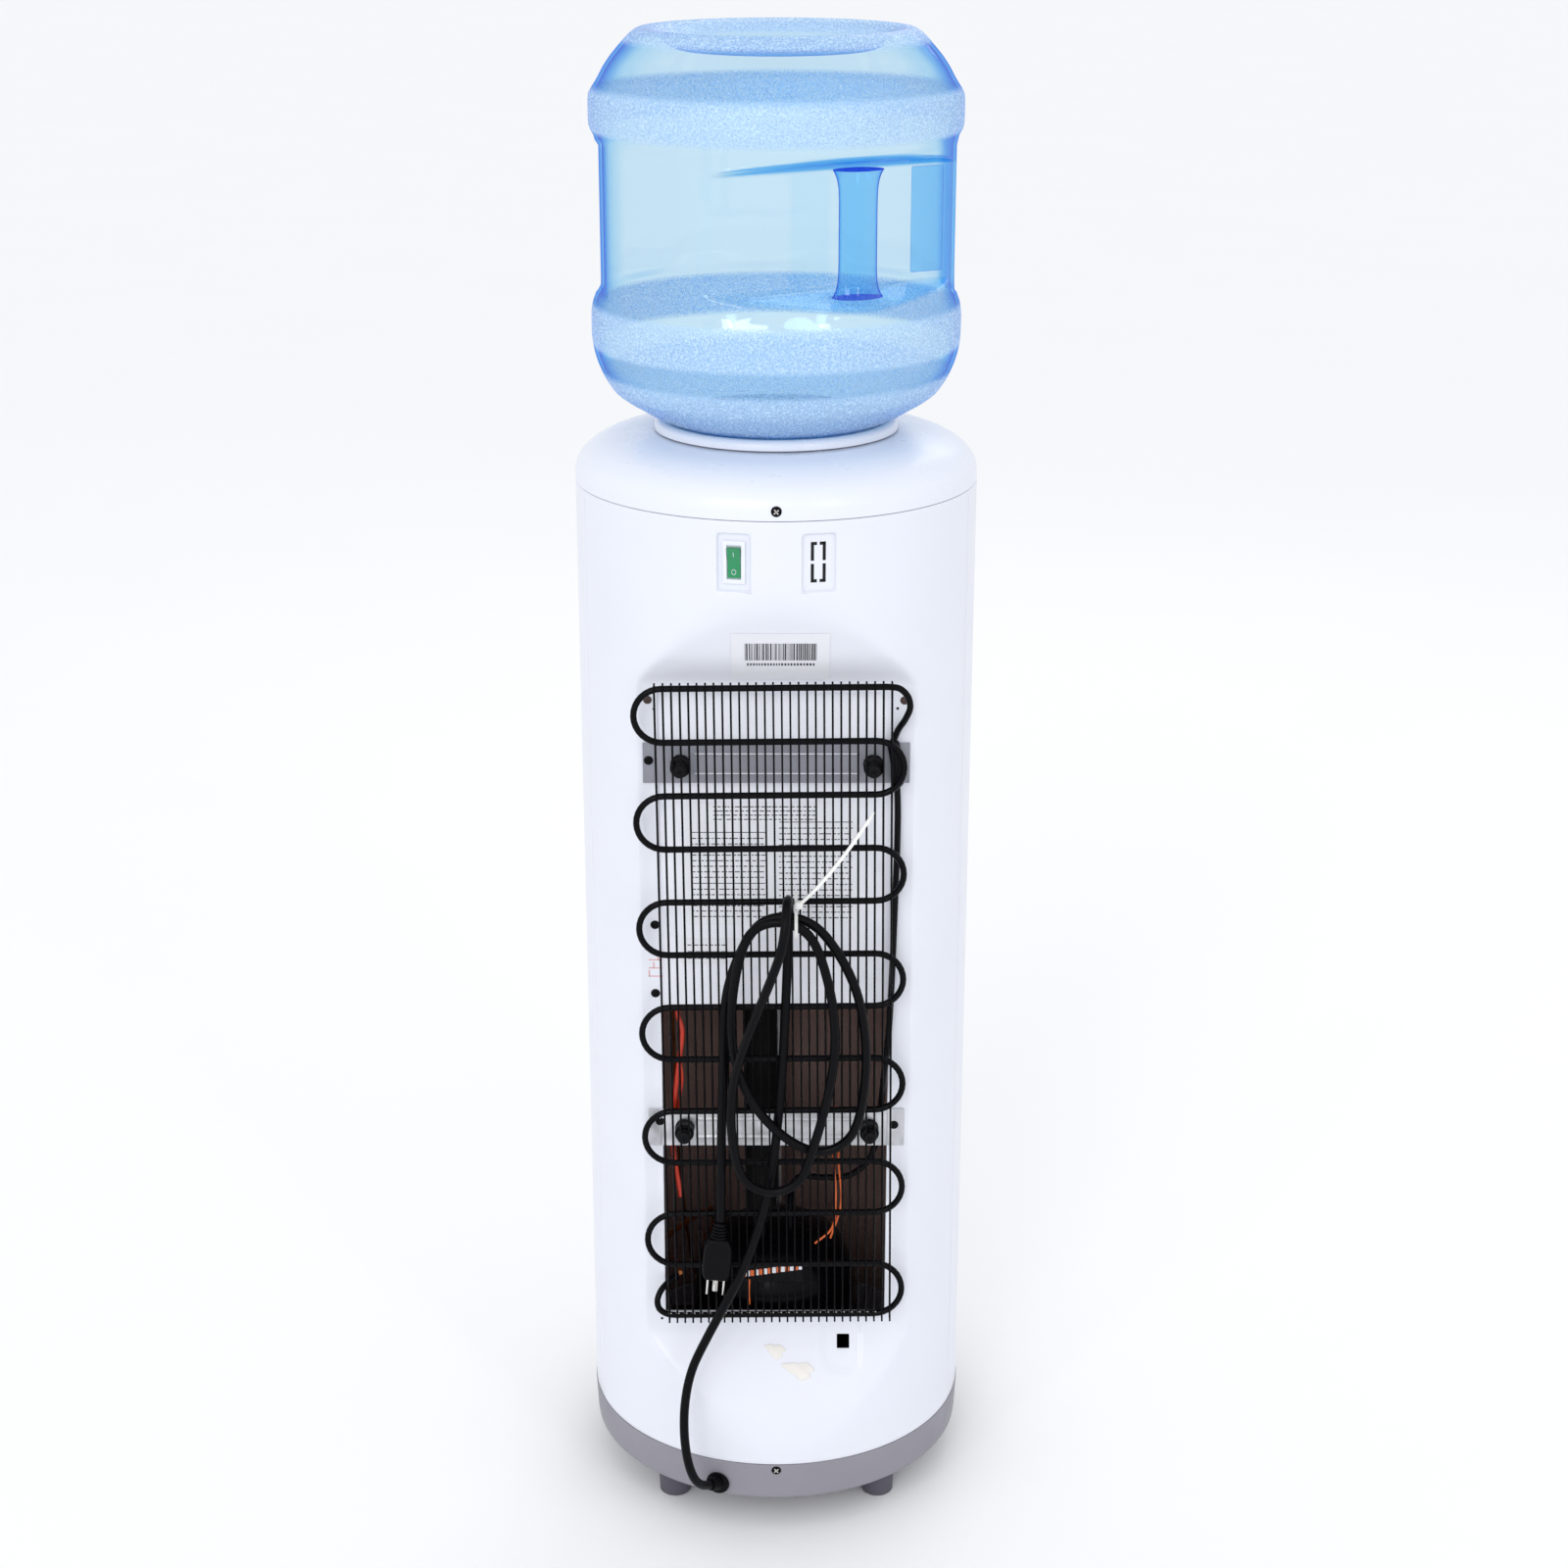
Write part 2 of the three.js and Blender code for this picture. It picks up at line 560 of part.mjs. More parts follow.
// A tube of straight stretches with mitred joints, for a path whose corners are already rounded.
function polyTube(points, radius, sides) {
  const rings = points.map((point, i) => {
    const before = points[Math.max(i - 1, 0)];
    const after = points[Math.min(i + 1, points.length - 1)];
    const into = new THREE.Vector3().subVectors(point, before).normalize();
    const out = new THREE.Vector3().subVectors(after, point).normalize();
    const along = new THREE.Vector3().addVectors(into, out).normalize();
    const side = new THREE.Vector3(0, 1, 0).addScaledVector(along, -along.y).normalize();
    const other = new THREE.Vector3().crossVectors(along, side);
    return Array.from({ length: sides }, (_, k) => {
      const angle = (2 * Math.PI * (k + 0.5)) / sides;
      return point.clone().addScaledVector(side, radius * Math.cos(angle))
        .addScaledVector(other, radius * Math.sin(angle));
    });
  });
  const place = (ring, k) => rings[ring][k % sides].toArray();
  const corners = [];
  for (let i = 1; i < rings.length; i += 1) {
    for (let k = 0; k < sides; k += 1) {
      corners.push(place(i - 1, k), place(i, k), place(i, k + 1));
      corners.push(place(i - 1, k), place(i, k + 1), place(i - 1, k + 1));
    }
  }
  for (let k = 1; k < sides - 1; k += 1) {
    corners.push(place(0, 0), place(0, k), place(0, k + 1));
    corners.push(place(rings.length - 1, 0), place(rings.length - 1, k + 1), place(rings.length - 1, k));
  }
  const geometry = new THREE.BufferGeometry();
  geometry.setAttribute('position', new THREE.BufferAttribute(new Float32Array(corners.flat()), 3));
  return geometry;
}

function bracket(z) {
  const front = FLAT_Y + GAP;
  let strip = block([-97, 97], [front, front + 1.4], z);
  const middle = (z[0] + z[1]) / 2;
  for (const at of [middle - 7.5, middle + 7.5]) {
    strip = strip.add(prismX([
      [front + 1, at - 2], [front + 2.9, at - 0.8], [front + 2.9, at + 0.8], [front + 1, at + 2],
    ], [-61, 61]));
  }
  return strip;
}

function standoff(x, z) {
  const front = FLAT_Y + GAP + 1.4 + GAP;
  return barY(7.5, [front, COIL_Y - 4.3], x, z, 16).add(barY(5.2, [COIL_Y - 5, COIL_Y + 5], x, z, 12));
}

// ---------- pipes, hoses and wires ----------

const DISCHARGE_ROUTE = [
  skewed(86, 637.6, -12), [-88, 113, 600], [-87, 113, 500], [-84, 113, 410], [-81, 112, 375],
  [-79.5, 102, 346], [-77, 98, 318], [-70, 93, 294], [-55, 87, 279], [-36, 82, 275], [-18, 73, 271],
  [-11.5, 61, 250], [-11, 56, 217],
];
const LIQUID_ROUTE = [
  skewed(-77.3, ROW_LAST + 24.5, -22), [76, 94, 204], [82, 66, 196], [93, 28, 180], [90, -14, 171],
  [70, -46, 171], [54, -60, 173], [52, -62, 163.4],
];
const CAPILLARY_ROUTE = [
  [52, -62, 86.6], [54, -68, 78], [66, -78, 92], [80, -70, 200], [84, -50, 400], [80, -6, 560], [58, 30, 604],
  [44, 40, 625],
];
const COLD_WATER_ROUTE = [
  [20, -8, 620.4], [20.4, -12, 607], [26, -30, 600], [31, -54, 612], [33, -62, 650], [32.4, -62, 697],
  [32, -64.5, 711], [32, -69.4, 714],
];
const HOT_WATER_ROUTE = [
  [-14, -60, 536.4], [-15, -62, 560], [-26, -67, 610], [-33, -63.5, 655], [-32.4, -62, 697],
  [-32, -64.5, 711], [-32, -69.4, 714],
];
const HOT_FEED_ROUTE = [[-20, 2, 619.6], [-19, -3, 606], [-4, -20, 585], [10, -31, 560], [14, -34, 537]];
const DRAIN_ROUTE = [
  [0, -60, 408.6], [0, -64, 392], [0, -92, 350], [0, -109, 280], [0, -110, 150], [0, -110, 52.6],
];
const HARNESS_ROUTE = [
  [25, 123.5, 782], [36, 116, 776], [78, 84, 745], [96, 52, 690], [100, 20, 500], [102, 12, 300],
  [99, 24, 160], [97, 32, 116], [92, 32, 105], [86.6, 32, 103],
];

function suctionLine() {
  const foamRoute = [
    [29, 54, 612], [26, 57, 580], [17, 61, 500], [12, 61, 400], [11, 58, 300], [12, 54, 238],
  ];
  const foam = tube(foamRoute, 13, 10, 16);
  const upper = tube([[30, 50, 637.5], [29.5, 52, 625], [28.6, 54.6, 605]], 5, 8, 4);
  return foam.add(upper).add(disc(6.5, [222.4, 242], 12, [12, 54]));
}

function filterDrier() {
  return turned([
    [0, 88], [2.4, 88], [2.4, 94], [9, 102], [9, 148], [2.6, 156], [2.6, 162], [0, 162],
  ], 14, [52, -62]);
}

function drainFitting() {
  const fitting = turned([
    [0, 12], [9, 12], [9, 26.6], [6, 26.6], [6, 31.4], [12, 31.4], [12, 34], [5, 34], [5, 52], [0, 52],
  ], 16, DRAIN_AT);
  return fitting.subtract(disc(3, [30, 60], 8, DRAIN_AT));
}

// ---------- power switch ----------

function switchBezel() {
  const flange = block([-8, 8], [145.3, 147.3], [SWITCH_Z - 15.3, SWITCH_Z + 15.3], SWITCH_TURN);
  const box = block([-6.4, 6.4], [129, 146], [SWITCH_Z - 13.4, SWITCH_Z + 13.4], SWITCH_TURN);
  const hole = block([-5, 5], [134, 150], [SWITCH_Z - 12, SWITCH_Z + 12], SWITCH_TURN);
  return flange.add(box).subtract(hole);
}

// The rocker rests with its lower end pressed in, 7 degrees off its middle position.
function rocker() {
  const tilt = THREE.MathUtils.degToRad(7);
  const neutral = [[-3.5, -10.6], [4.4, -10.8], [2.9, 0], [4.4, 10.8], [-3.5, 10.6]];
  const side = neutral.map(([y, z]) => [
    143.6 + y * Math.cos(tilt) + z * Math.sin(tilt), SWITCH_Z + z * Math.cos(tilt) - y * Math.sin(tilt),
  ]);
  return prismX(side, [-4.6, 4.6], SWITCH_TURN);
}

// ---------- mains cord ----------

// Turns a shape that is built along +Y from the origin to the gland's place and a direction.
function alongGland(geometry, direction = GLAND_WAY) {
  const way = new THREE.Vector3(...direction).normalize();
  const turn = new THREE.Quaternion().setFromUnitVectors(new THREE.Vector3(0, 1, 0), way);
  return solid(geometry.applyQuaternion(turn).translate(...GLAND_AT));
}

function cordGland() {
  const boss = alongGland(new THREE.CylinderGeometry(4.8, 6.2, 11.6, 14).translate(0, 8, 0), CORD_WAY);
  const flange = alongGland(new THREE.CylinderGeometry(8.8, 9.4, 2.6, 18).translate(0, 1.75, 0));
  const stem = alongGland(new THREE.CylinderGeometry(5.8, 5.8, 9, 12).translate(0, -3, 0));
  return boss.add(flange).add(stem);
}

const glandHole = () => alongGland(new THREE.CylinderGeometry(6.4, 6.4, 30, 14));

function cord() {
  const curve = new THREE.CatmullRomCurve3(CORD_ROUTE.map((p) => new THREE.Vector3(...p)));
  return solid(sweep(curve, CORD_R, 8, 80));
}

// The plug, its cord end at the origin and its pins down.
function plug() {
  let body = turned([[0, -14], [7.2, -14], [6.2, -7], [5, 0], [0, 0]], 12);
  const face = [
    [-6.6, -12], [6.6, -12], [10.8, -20], [11.2, -41], [8.6, -47], [-8.6, -47], [-11.2, -41], [-10.8, -20],
  ];
  const shape = new THREE.ExtrudeGeometry(outline(face), { depth: PLUG_DEPTH, bevelEnabled: false });
  body = body.add(solid(shape.rotateX(Math.PI / 2).translate(0, PLUG_DEPTH / 2, 0)));
  for (const side of [-1, 1]) {
    body = body.add(block([side * 6.2 - 0.8, side * 6.2 + 0.8], [-1.2, 5], [-60, -46]));
  }
  return body.add(disc(2.4, [-62, -46], 10, [0, -5.6]));
}

// A nylon tie that holds the cord's bends to one of the condenser's rows, with its tail left long.
function cableTie() {
  const inside = [
    [121.9, 518], [121.9, 524.5], [125, 527.2], [133, 525.5], [146, 521.5], [153.4, 515.5], [153.9, 509],
    [151, 504.6], [146, 504.4], [133, 510], [125, 515.5],
  ];
  const grown = inside.map(([y, z]) => [138 + (y - 138) * 1.08, 515.5 + (z - 515.5) * 1.12]);
  let tie = prismX(grown, [-15.6, -13.1]).subtract(prismX(inside, [-20, -10]));
  tie = tie.add(block([-19.4, -13.2], [141, 147], [524, 529.5]));
  const tail = [[-17, 144.5, 526.5], [-30, 148, 542], [-50, 147.5, 568], [-70, 143, 598]];
  return tie.add(solid(polyTube(tail.map((p) => new THREE.Vector3(...p)), 1.3, 4)));
}

function screw(z, head) {
  return barY(3.5, head, 0, z, 14).add(barY(1.6, [head[0] - 9, head[0] + 0.3], 0, z, 8));
}

// ---------- assembly ----------

add('base_pan', basePan(), GREY, 0.5);
for (const [side, x] of [['left', FOOT_PLACE[0]], ['right', -FOOT_PLACE[0]]]) {
  for (const [end, y] of [['rear', FOOT_PLACE[1]], ['front', -FOOT_PLACE[1]]]) {
    add(`foot_${end}_${side}`, foot(x, y), GREY, 0.6);
  }
}
add('rear_shell', rearShell(), WHITE, 0.35);
add('front_shell', frontShell(), WHITE, 0.35);
add('back_plate', backPlate(), 0xd9dae0, 0.5);
add('top_cover', topCover(), WHITE, 0.35);
add('collar_ring', collarRing(), WHITE, 0.3);
add('spill_guard', spillGuard(), WHITE, 0.4);
add('bottle', bottle(), 0x8fc8ee, 0.1);
add('bottle_cap', bottleCap(), 0x2f62b8, 0.5);

add('alcove_liner', alcoveLiner(), GREY, 0.5);
add('drip_tray', dripTray(), GREY, 0.5);
add('drip_grille', dripGrille(), GREY, 0.5);
add('hot_tap', tapBody(-TAP_X), WHITE, 0.3);
add('cold_tap', tapBody(TAP_X), WHITE, 0.3);
add('hot_lever', hotLever(), 0xc62a2a, 0.35);
add('cold_lever', tapLever(TAP_X), 0x2257b5, 0.35);
add('hot_catch', hotCatch(), WHITE, 0.35);
const LENSES = [['power', -12, 0x2fa84f], ['heating', 0, 0xd23b2f], ['cooling', 12, 0xd9a52a]];
for (const [name, x, color] of LENSES) add(`${name}_lens`, lens(x), color, 0.2);

add('cold_tank', coldTank(), STEEL, 0.3, 1);
add('cold_insulation', coldInsulation(), FOAM, 0.9);
add('evaporator_coil', evaporatorCoil(), COPPER, 0.35, 1);
add('hot_tank', hotTank(), STEEL, 0.3, 1);
add('hot_insulation', hotInsulation(), FOAM, 0.9);
add('heater_band', heaterBand(), STEEL, 0.4, 1);
add('hot_thermostat', hotThermostat(), BLACK, 0.5);
add('cold_thermostat', coldThermostat(), BLACK, 0.5);

add('compressor', compressor(), BLACK, 0.35);
add('relay_box', relayBox(), BLACK, 0.5);
add('condenser', condenser(), BLACK, 0.35);
add('upper_bracket', bracket([608, 639]), 0x9a9ca8, 0.4);
add('lower_bracket', bracket([316, 347]), STEEL, 0.35, 1);
for (const [level, z] of [['upper', 623], ['lower', 331.5]]) {
  add(`standoff_${level}_left`, standoff(69.5, z), BLACK, 0.6);
  add(`standoff_${level}_right`, standoff(-70.3, z), BLACK, 0.6);
}
add('suction_line', suctionLine(), BLACK, 0.8);
add('discharge_line', tube(DISCHARGE_ROUTE, TUBE_R, 6, 28), BLACK, 0.4);
add('liquid_line', tube(LIQUID_ROUTE, TUBE_R, 6, 18), COPPER, 0.35, 1);
add('filter_drier', filterDrier(), COPPER, 0.35, 1);
add('capillary_tube', tube(CAPILLARY_ROUTE, 1.3, 5, 20), COPPER, 0.35, 1);

add('cold_water_hose', tube(COLD_WATER_ROUTE, HOSE_R, 7, 16), HOSE, 0.4);
add('hot_water_hose', tube(HOT_WATER_ROUTE, HOSE_R, 7, 14), HOSE, 0.4);
add('hot_feed_hose', tube(HOT_FEED_ROUTE, HOSE_R, 7, 10), HOSE, 0.4);
add('drain_hose', tube(DRAIN_ROUTE, HOSE_R, 7, 12), HOSE, 0.4);
add('drain_fitting', drainFitting(), WHITE, 0.5);

add('switch_bezel', switchBezel(), WHITE, 0.3);
add('power_rocker', rocker(), 0x12a05a, 0.3);
add('wire_harness', tube(HARNESS_ROUTE, 3, 6, 22), BLACK, 0.6);

add('cord_gland', cordGland(), BLACK, 0.5);
add('power_cord', cord(), BLACK, 0.45);
const plugMesh = add('power_plug', plug(), BLACK, 0.45);
plugMesh.rotation.y = THREE.MathUtils.degToRad(-PLUG_TILT);
plugMesh.position.set(CORD_END[0] + 0.3, CORD_END[1], CORD_END[2] - 0.9);
add('cable_tie', cableTie(), 0xf4f4f2, 0.4);
add('cover_screw', screw(COVER_SCREW_Z, [146.7, 147.9]), BLACK, 0.4);
add('base_screw', screw(BASE_SCREW_Z, [146.9, 148.4]), BLACK, 0.4);

export default part;
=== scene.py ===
"""Bottle-on-top water dispenser, seen from behind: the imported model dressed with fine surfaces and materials.

The row frame: +Z up, the condenser side faces +Y, the taps face -Y.
Shapes are written in millimetres and become metres when their mesh is made. The cord's route is in metres.
"""
import json
import math
import random

import bmesh
import bpy
import numpy as np
from mathutils import Matrix, Vector


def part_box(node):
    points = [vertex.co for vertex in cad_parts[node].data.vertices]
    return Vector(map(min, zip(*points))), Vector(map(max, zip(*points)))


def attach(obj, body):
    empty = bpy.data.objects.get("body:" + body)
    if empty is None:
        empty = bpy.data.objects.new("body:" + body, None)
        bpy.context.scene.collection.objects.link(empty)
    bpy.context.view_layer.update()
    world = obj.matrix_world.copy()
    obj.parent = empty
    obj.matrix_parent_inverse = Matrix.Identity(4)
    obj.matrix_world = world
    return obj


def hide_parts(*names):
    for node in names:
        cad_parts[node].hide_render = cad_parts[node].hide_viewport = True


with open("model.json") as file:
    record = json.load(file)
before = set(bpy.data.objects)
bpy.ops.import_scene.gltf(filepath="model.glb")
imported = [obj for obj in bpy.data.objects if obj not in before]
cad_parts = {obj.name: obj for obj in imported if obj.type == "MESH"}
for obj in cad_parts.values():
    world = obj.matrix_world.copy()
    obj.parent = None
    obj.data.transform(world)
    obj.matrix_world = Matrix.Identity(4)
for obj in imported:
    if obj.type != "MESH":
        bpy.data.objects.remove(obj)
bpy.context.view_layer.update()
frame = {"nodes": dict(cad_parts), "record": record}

MM = 0.001
BODY_R = 148
WALL = 2.5
FLAT_Y = 108
FLAT_Z = (156, 683.5)
SLOPE = 0.565
SEAM_ANGLE = 70
SHELL_Z = (59.8, 811.7)
WINDOW_X = (-84, 86)
WINDOW_Z = (172, 676)
SWITCH_TURN = -11.6
SWITCH_Z = 782
ALCOVE_X = 69.5
ALCOVE_Z = (552.5, 769)
PLATE_Y = 105.2
COIL_Y = 125
ROWS = 13
TUBE_R = 2.4
WIRE_R = 0.7
WIRES = 29
WIRE_X = (-84.8, 169.8)  # where the first wire stands and how far across the last one is
SKEW = math.radians(0.55)
GRIP_TURN = 29
GRIP_BACK = 83
GRIP_Z = (962, 1042)
GLAND_AT = Vector((45.4, 140.9, 39.6))
GLAND_WAY = Vector((0.307, 0.951, -0.046)).normalized()
CORD_WAY = Vector((0.46, 0.81, 0.36)).normalized()
PLUG_TILT = 4.5
CORD_D = 0.007


# ---------- camera and light ----------

LENS = (63.53, 36, 0.0049)  # focal length and sensor width in mm, and the shift to the side
CAMERA_AT = (0, 2.008, 1.2683)
LOOKS_DOWN = 19.194


def make_camera():
    data = bpy.data.cameras.new("camera")
    data.lens, data.sensor_width, data.shift_x = LENS
    camera = bpy.data.objects.new("camera", data)
    camera.location = CAMERA_AT
    camera.rotation_euler = (math.radians(90 - LOOKS_DOWN), 0, math.radians(180))
    bpy.context.scene.collection.objects.link(camera)
    bpy.context.scene.camera = camera


def make_softbox(name, place, target, size, power):
    data = bpy.data.lights.new(name, "AREA")
    data.shape = "RECTANGLE"
    data.size, data.size_y = size
    data.energy = power
    data.color = (0.97, 0.985, 1.0)
    light = bpy.data.objects.new(name, data)
    light.location = place
    light.rotation_euler = (Vector(target) - Vector(place)).to_track_quat("-Z", "Y").to_euler()
    bpy.context.scene.collection.objects.link(light)


def make_light():
    scene = bpy.context.scene
    scene.view_settings.view_transform = "Standard"
    world = bpy.data.worlds.new("studio")
    world.use_nodes = True
    background = world.node_tree.nodes["Background"]
    background.inputs["Color"].default_value = (0.975, 0.985, 1.0, 1)
    background.inputs["Strength"].default_value = 0.96
    scene.world = world
    for side in (-1, 1):
        make_softbox(f"softbox_{'left' if side > 0 else 'right'}", (side * 1.15, 1.9, 1.75),
                     (0, 0, 0.95), (0.26, 1.0), 4)
    make_softbox("softbox_front", (-0.6, -2.2, 2.2), (0, 0, 0.7), (1.2, 1.2), 6)
    make_softbox("recess_fill", (0, 0.1185, 0.43), (0, 0, 0.43), (0.18, 0.5), 0.11)
    sun = bpy.data.lights.new("rear_fill", "SUN")
    sun.energy = 0.5
    sun.angle = math.radians(20)
    fill = bpy.data.objects.new("rear_fill", sun)
    fill.rotation_euler = Vector((-0.25, -0.86, -0.45)).to_track_quat("-Z", "Y").to_euler()
    scene.collection.objects.link(fill)


# ---------- materials ----------

def new_material(name):
    material = bpy.data.materials.new(name)
    material.use_nodes = True
    return material, material.node_tree, material.node_tree.nodes["Principled BSDF"]


def plugged(tree, shader, name, value):
    """Sets a shader's socket to a plain value, or links it to another node's output."""
    if isinstance(value, bpy.types.NodeSocket):
        tree.links.new(value, shader.inputs[name])
    else:
        shader.inputs[name].default_value = value


def added(tree, kind, **sockets):
    made = tree.nodes.new(f"ShaderNode{kind}")
    for name, value in sockets.items():
        plugged(tree, made, name.replace("_", " "), value)
    return made


def position(tree):
    return added(tree, "TexCoord").outputs["Object"]


def noise(tree, scale, detail=3.0):
    return added(tree, "TexNoise", Scale=scale, Detail=detail, Vector=position(tree)).outputs["Fac"]


def ranged(tree, value, low, high, span=(0.3, 0.7)):
    """Spreads a value from its span to low and high."""
    return added(tree, "MapRange", From_Min=span[0], From_Max=span[1], To_Min=low, To_Max=high,
                 Value=value).outputs["Result"]


def bumped(tree, shader, height, strength, distance):
    bump = added(tree, "Bump", Strength=strength, Distance=distance, Height=height)
    tree.links.new(bump.outputs["Normal"], shader.inputs["Normal"])


def mixed(tree, factor, one, other):
    mix = tree.nodes.new("ShaderNodeMix")
    mix.data_type = "RGBA"
    mix.inputs["A"].default_value = (*one, 1)
    mix.inputs["B"].default_value = (*other, 1)
    tree.links.new(factor, mix.inputs["Factor"])
    return mix.outputs["Result"]


def finish_of(name, color, roughness, metallic=0.0, tone=0.93, blotch=14, grain=900, depth=0.15, **sockets):
    """A moulded, painted or plated surface: colour that drifts a little, uneven gloss and a fine grain."""
    material, tree, shader = new_material(name)
    darker = tuple(c * tone for c in color)
    tree.links.new(mixed(tree, ranged(tree, noise(tree, blotch), 0, 1), color, darker),
                   shader.inputs["Base Color"])
    tree.links.new(ranged(tree, noise(tree, blotch * 3), roughness * 0.85, min(1, roughness * 1.2)),
                   shader.inputs["Roughness"])
    shader.inputs["Metallic"].default_value = metallic
    bumped(tree, shader, noise(tree, grain, 2.0), depth, 0.0002)
    for socket, value in sockets.items():
        shader.inputs[socket.replace("_", " ")].default_value = value
    return material


def ramp(tree, value, stops):
    """Colours that follow a value from 0 to 1."""
    node = tree.nodes.new("ShaderNodeValToRGB")
    elements = node.color_ramp.elements
    for element, (place, color) in zip(list(elements), (stops[0], stops[-1])):
        element.position = place
        element.color = (*color, 1)
    for place, color in stops[1:-1]:
        elements.new(place).color = (*color, 1)
    tree.links.new(value, node.inputs["Fac"])
    return node.outputs["Color"]


def combined(tree, factor, one, other):
    mix = added(tree, "MixShader", Fac=factor)
    tree.links.new(one.outputs[0], mix.inputs[1])
    tree.links.new(other.outputs[0], mix.inputs[2])
    return mix


# How a bottle's wall passes light, from face-on to edge-on.
BOTTLE_TINT = [
    (0, (0.89, 0.965, 1.0)), (0.42, (0.885, 0.962, 1.0)), (0.62, (0.78, 0.92, 0.995)),
    (0.76, (0.46, 0.76, 0.98)), (0.88, (0.14, 0.54, 0.95)), (1, (0.04, 0.36, 0.90)),
]
# Heights in metres where the pebbled bands end and begin, with how pebbled the wall is there.
BOTTLE_BANDS = [
    (0.890, 1), (0.894, 0), (0.909, 0), (0.913, 1), (0.938, 1), (0.942, 0),
    (1.060, 0), (1.064, 1), (1.089, 1), (1.093, 0), (1.121, 0), (1.125, 1),
]
BAND_SPAN = (0.80, 1.14)


def bottle_material(name, depth):
    """Thin clear blue plastic: its tint deepens where it is seen edge-on, and some bands are pebbled."""
    material, tree, pebbled = new_material(name)
    facing = added(tree, "LayerWeight", Blend=0.5).outputs["Facing"]
    tint = [(place, tuple(c ** depth for c in color)) for place, color in BOTTLE_TINT]
    clear = added(tree, "BsdfTransparent", Color=ramp(tree, facing, tint))
    gloss = added(tree, "BsdfGlossy", Roughness=0.05)
    low, high = BAND_SPAN
    stops = [((z - low) / (high - low), (value,) * 3) for z, value in BOTTLE_BANDS]
    split = added(tree, "SeparateXYZ", Vector=position(tree))
    height = ranged(tree, split.outputs["Z"], 0, 1, BAND_SPAN)
    bands = ramp(tree, height, [(0, (1, 1, 1)), *stops, (1, (1, 1, 1))])
    pebble = added(tree, "TexVoronoi", Scale=640, Vector=position(tree))
    texture = tree.nodes.new("ShaderNodeMath")
    texture.operation = "MULTIPLY"
    tree.links.new(pebble.outputs["Distance"], texture.inputs[0])
    tree.links.new(bands, texture.inputs[1])
    texture = texture.outputs["Value"]
    for shader in (gloss, pebbled):
        bumped(tree, shader, texture, 0.5, 0.0008)
    pebbled.inputs["Base Color"].default_value = (0.52, 0.72, 0.95, 1)
    pebbled.inputs["Roughness"].default_value = 0.3
    film = combined(tree, ranged(tree, facing, 0.035, 0.16, (0, 1)), clear, gloss)
    surface = combined(tree, texture, film, pebbled)
    tree.links.new(surface.outputs[0], tree.nodes["Material Output"].inputs["Surface"])
    return material


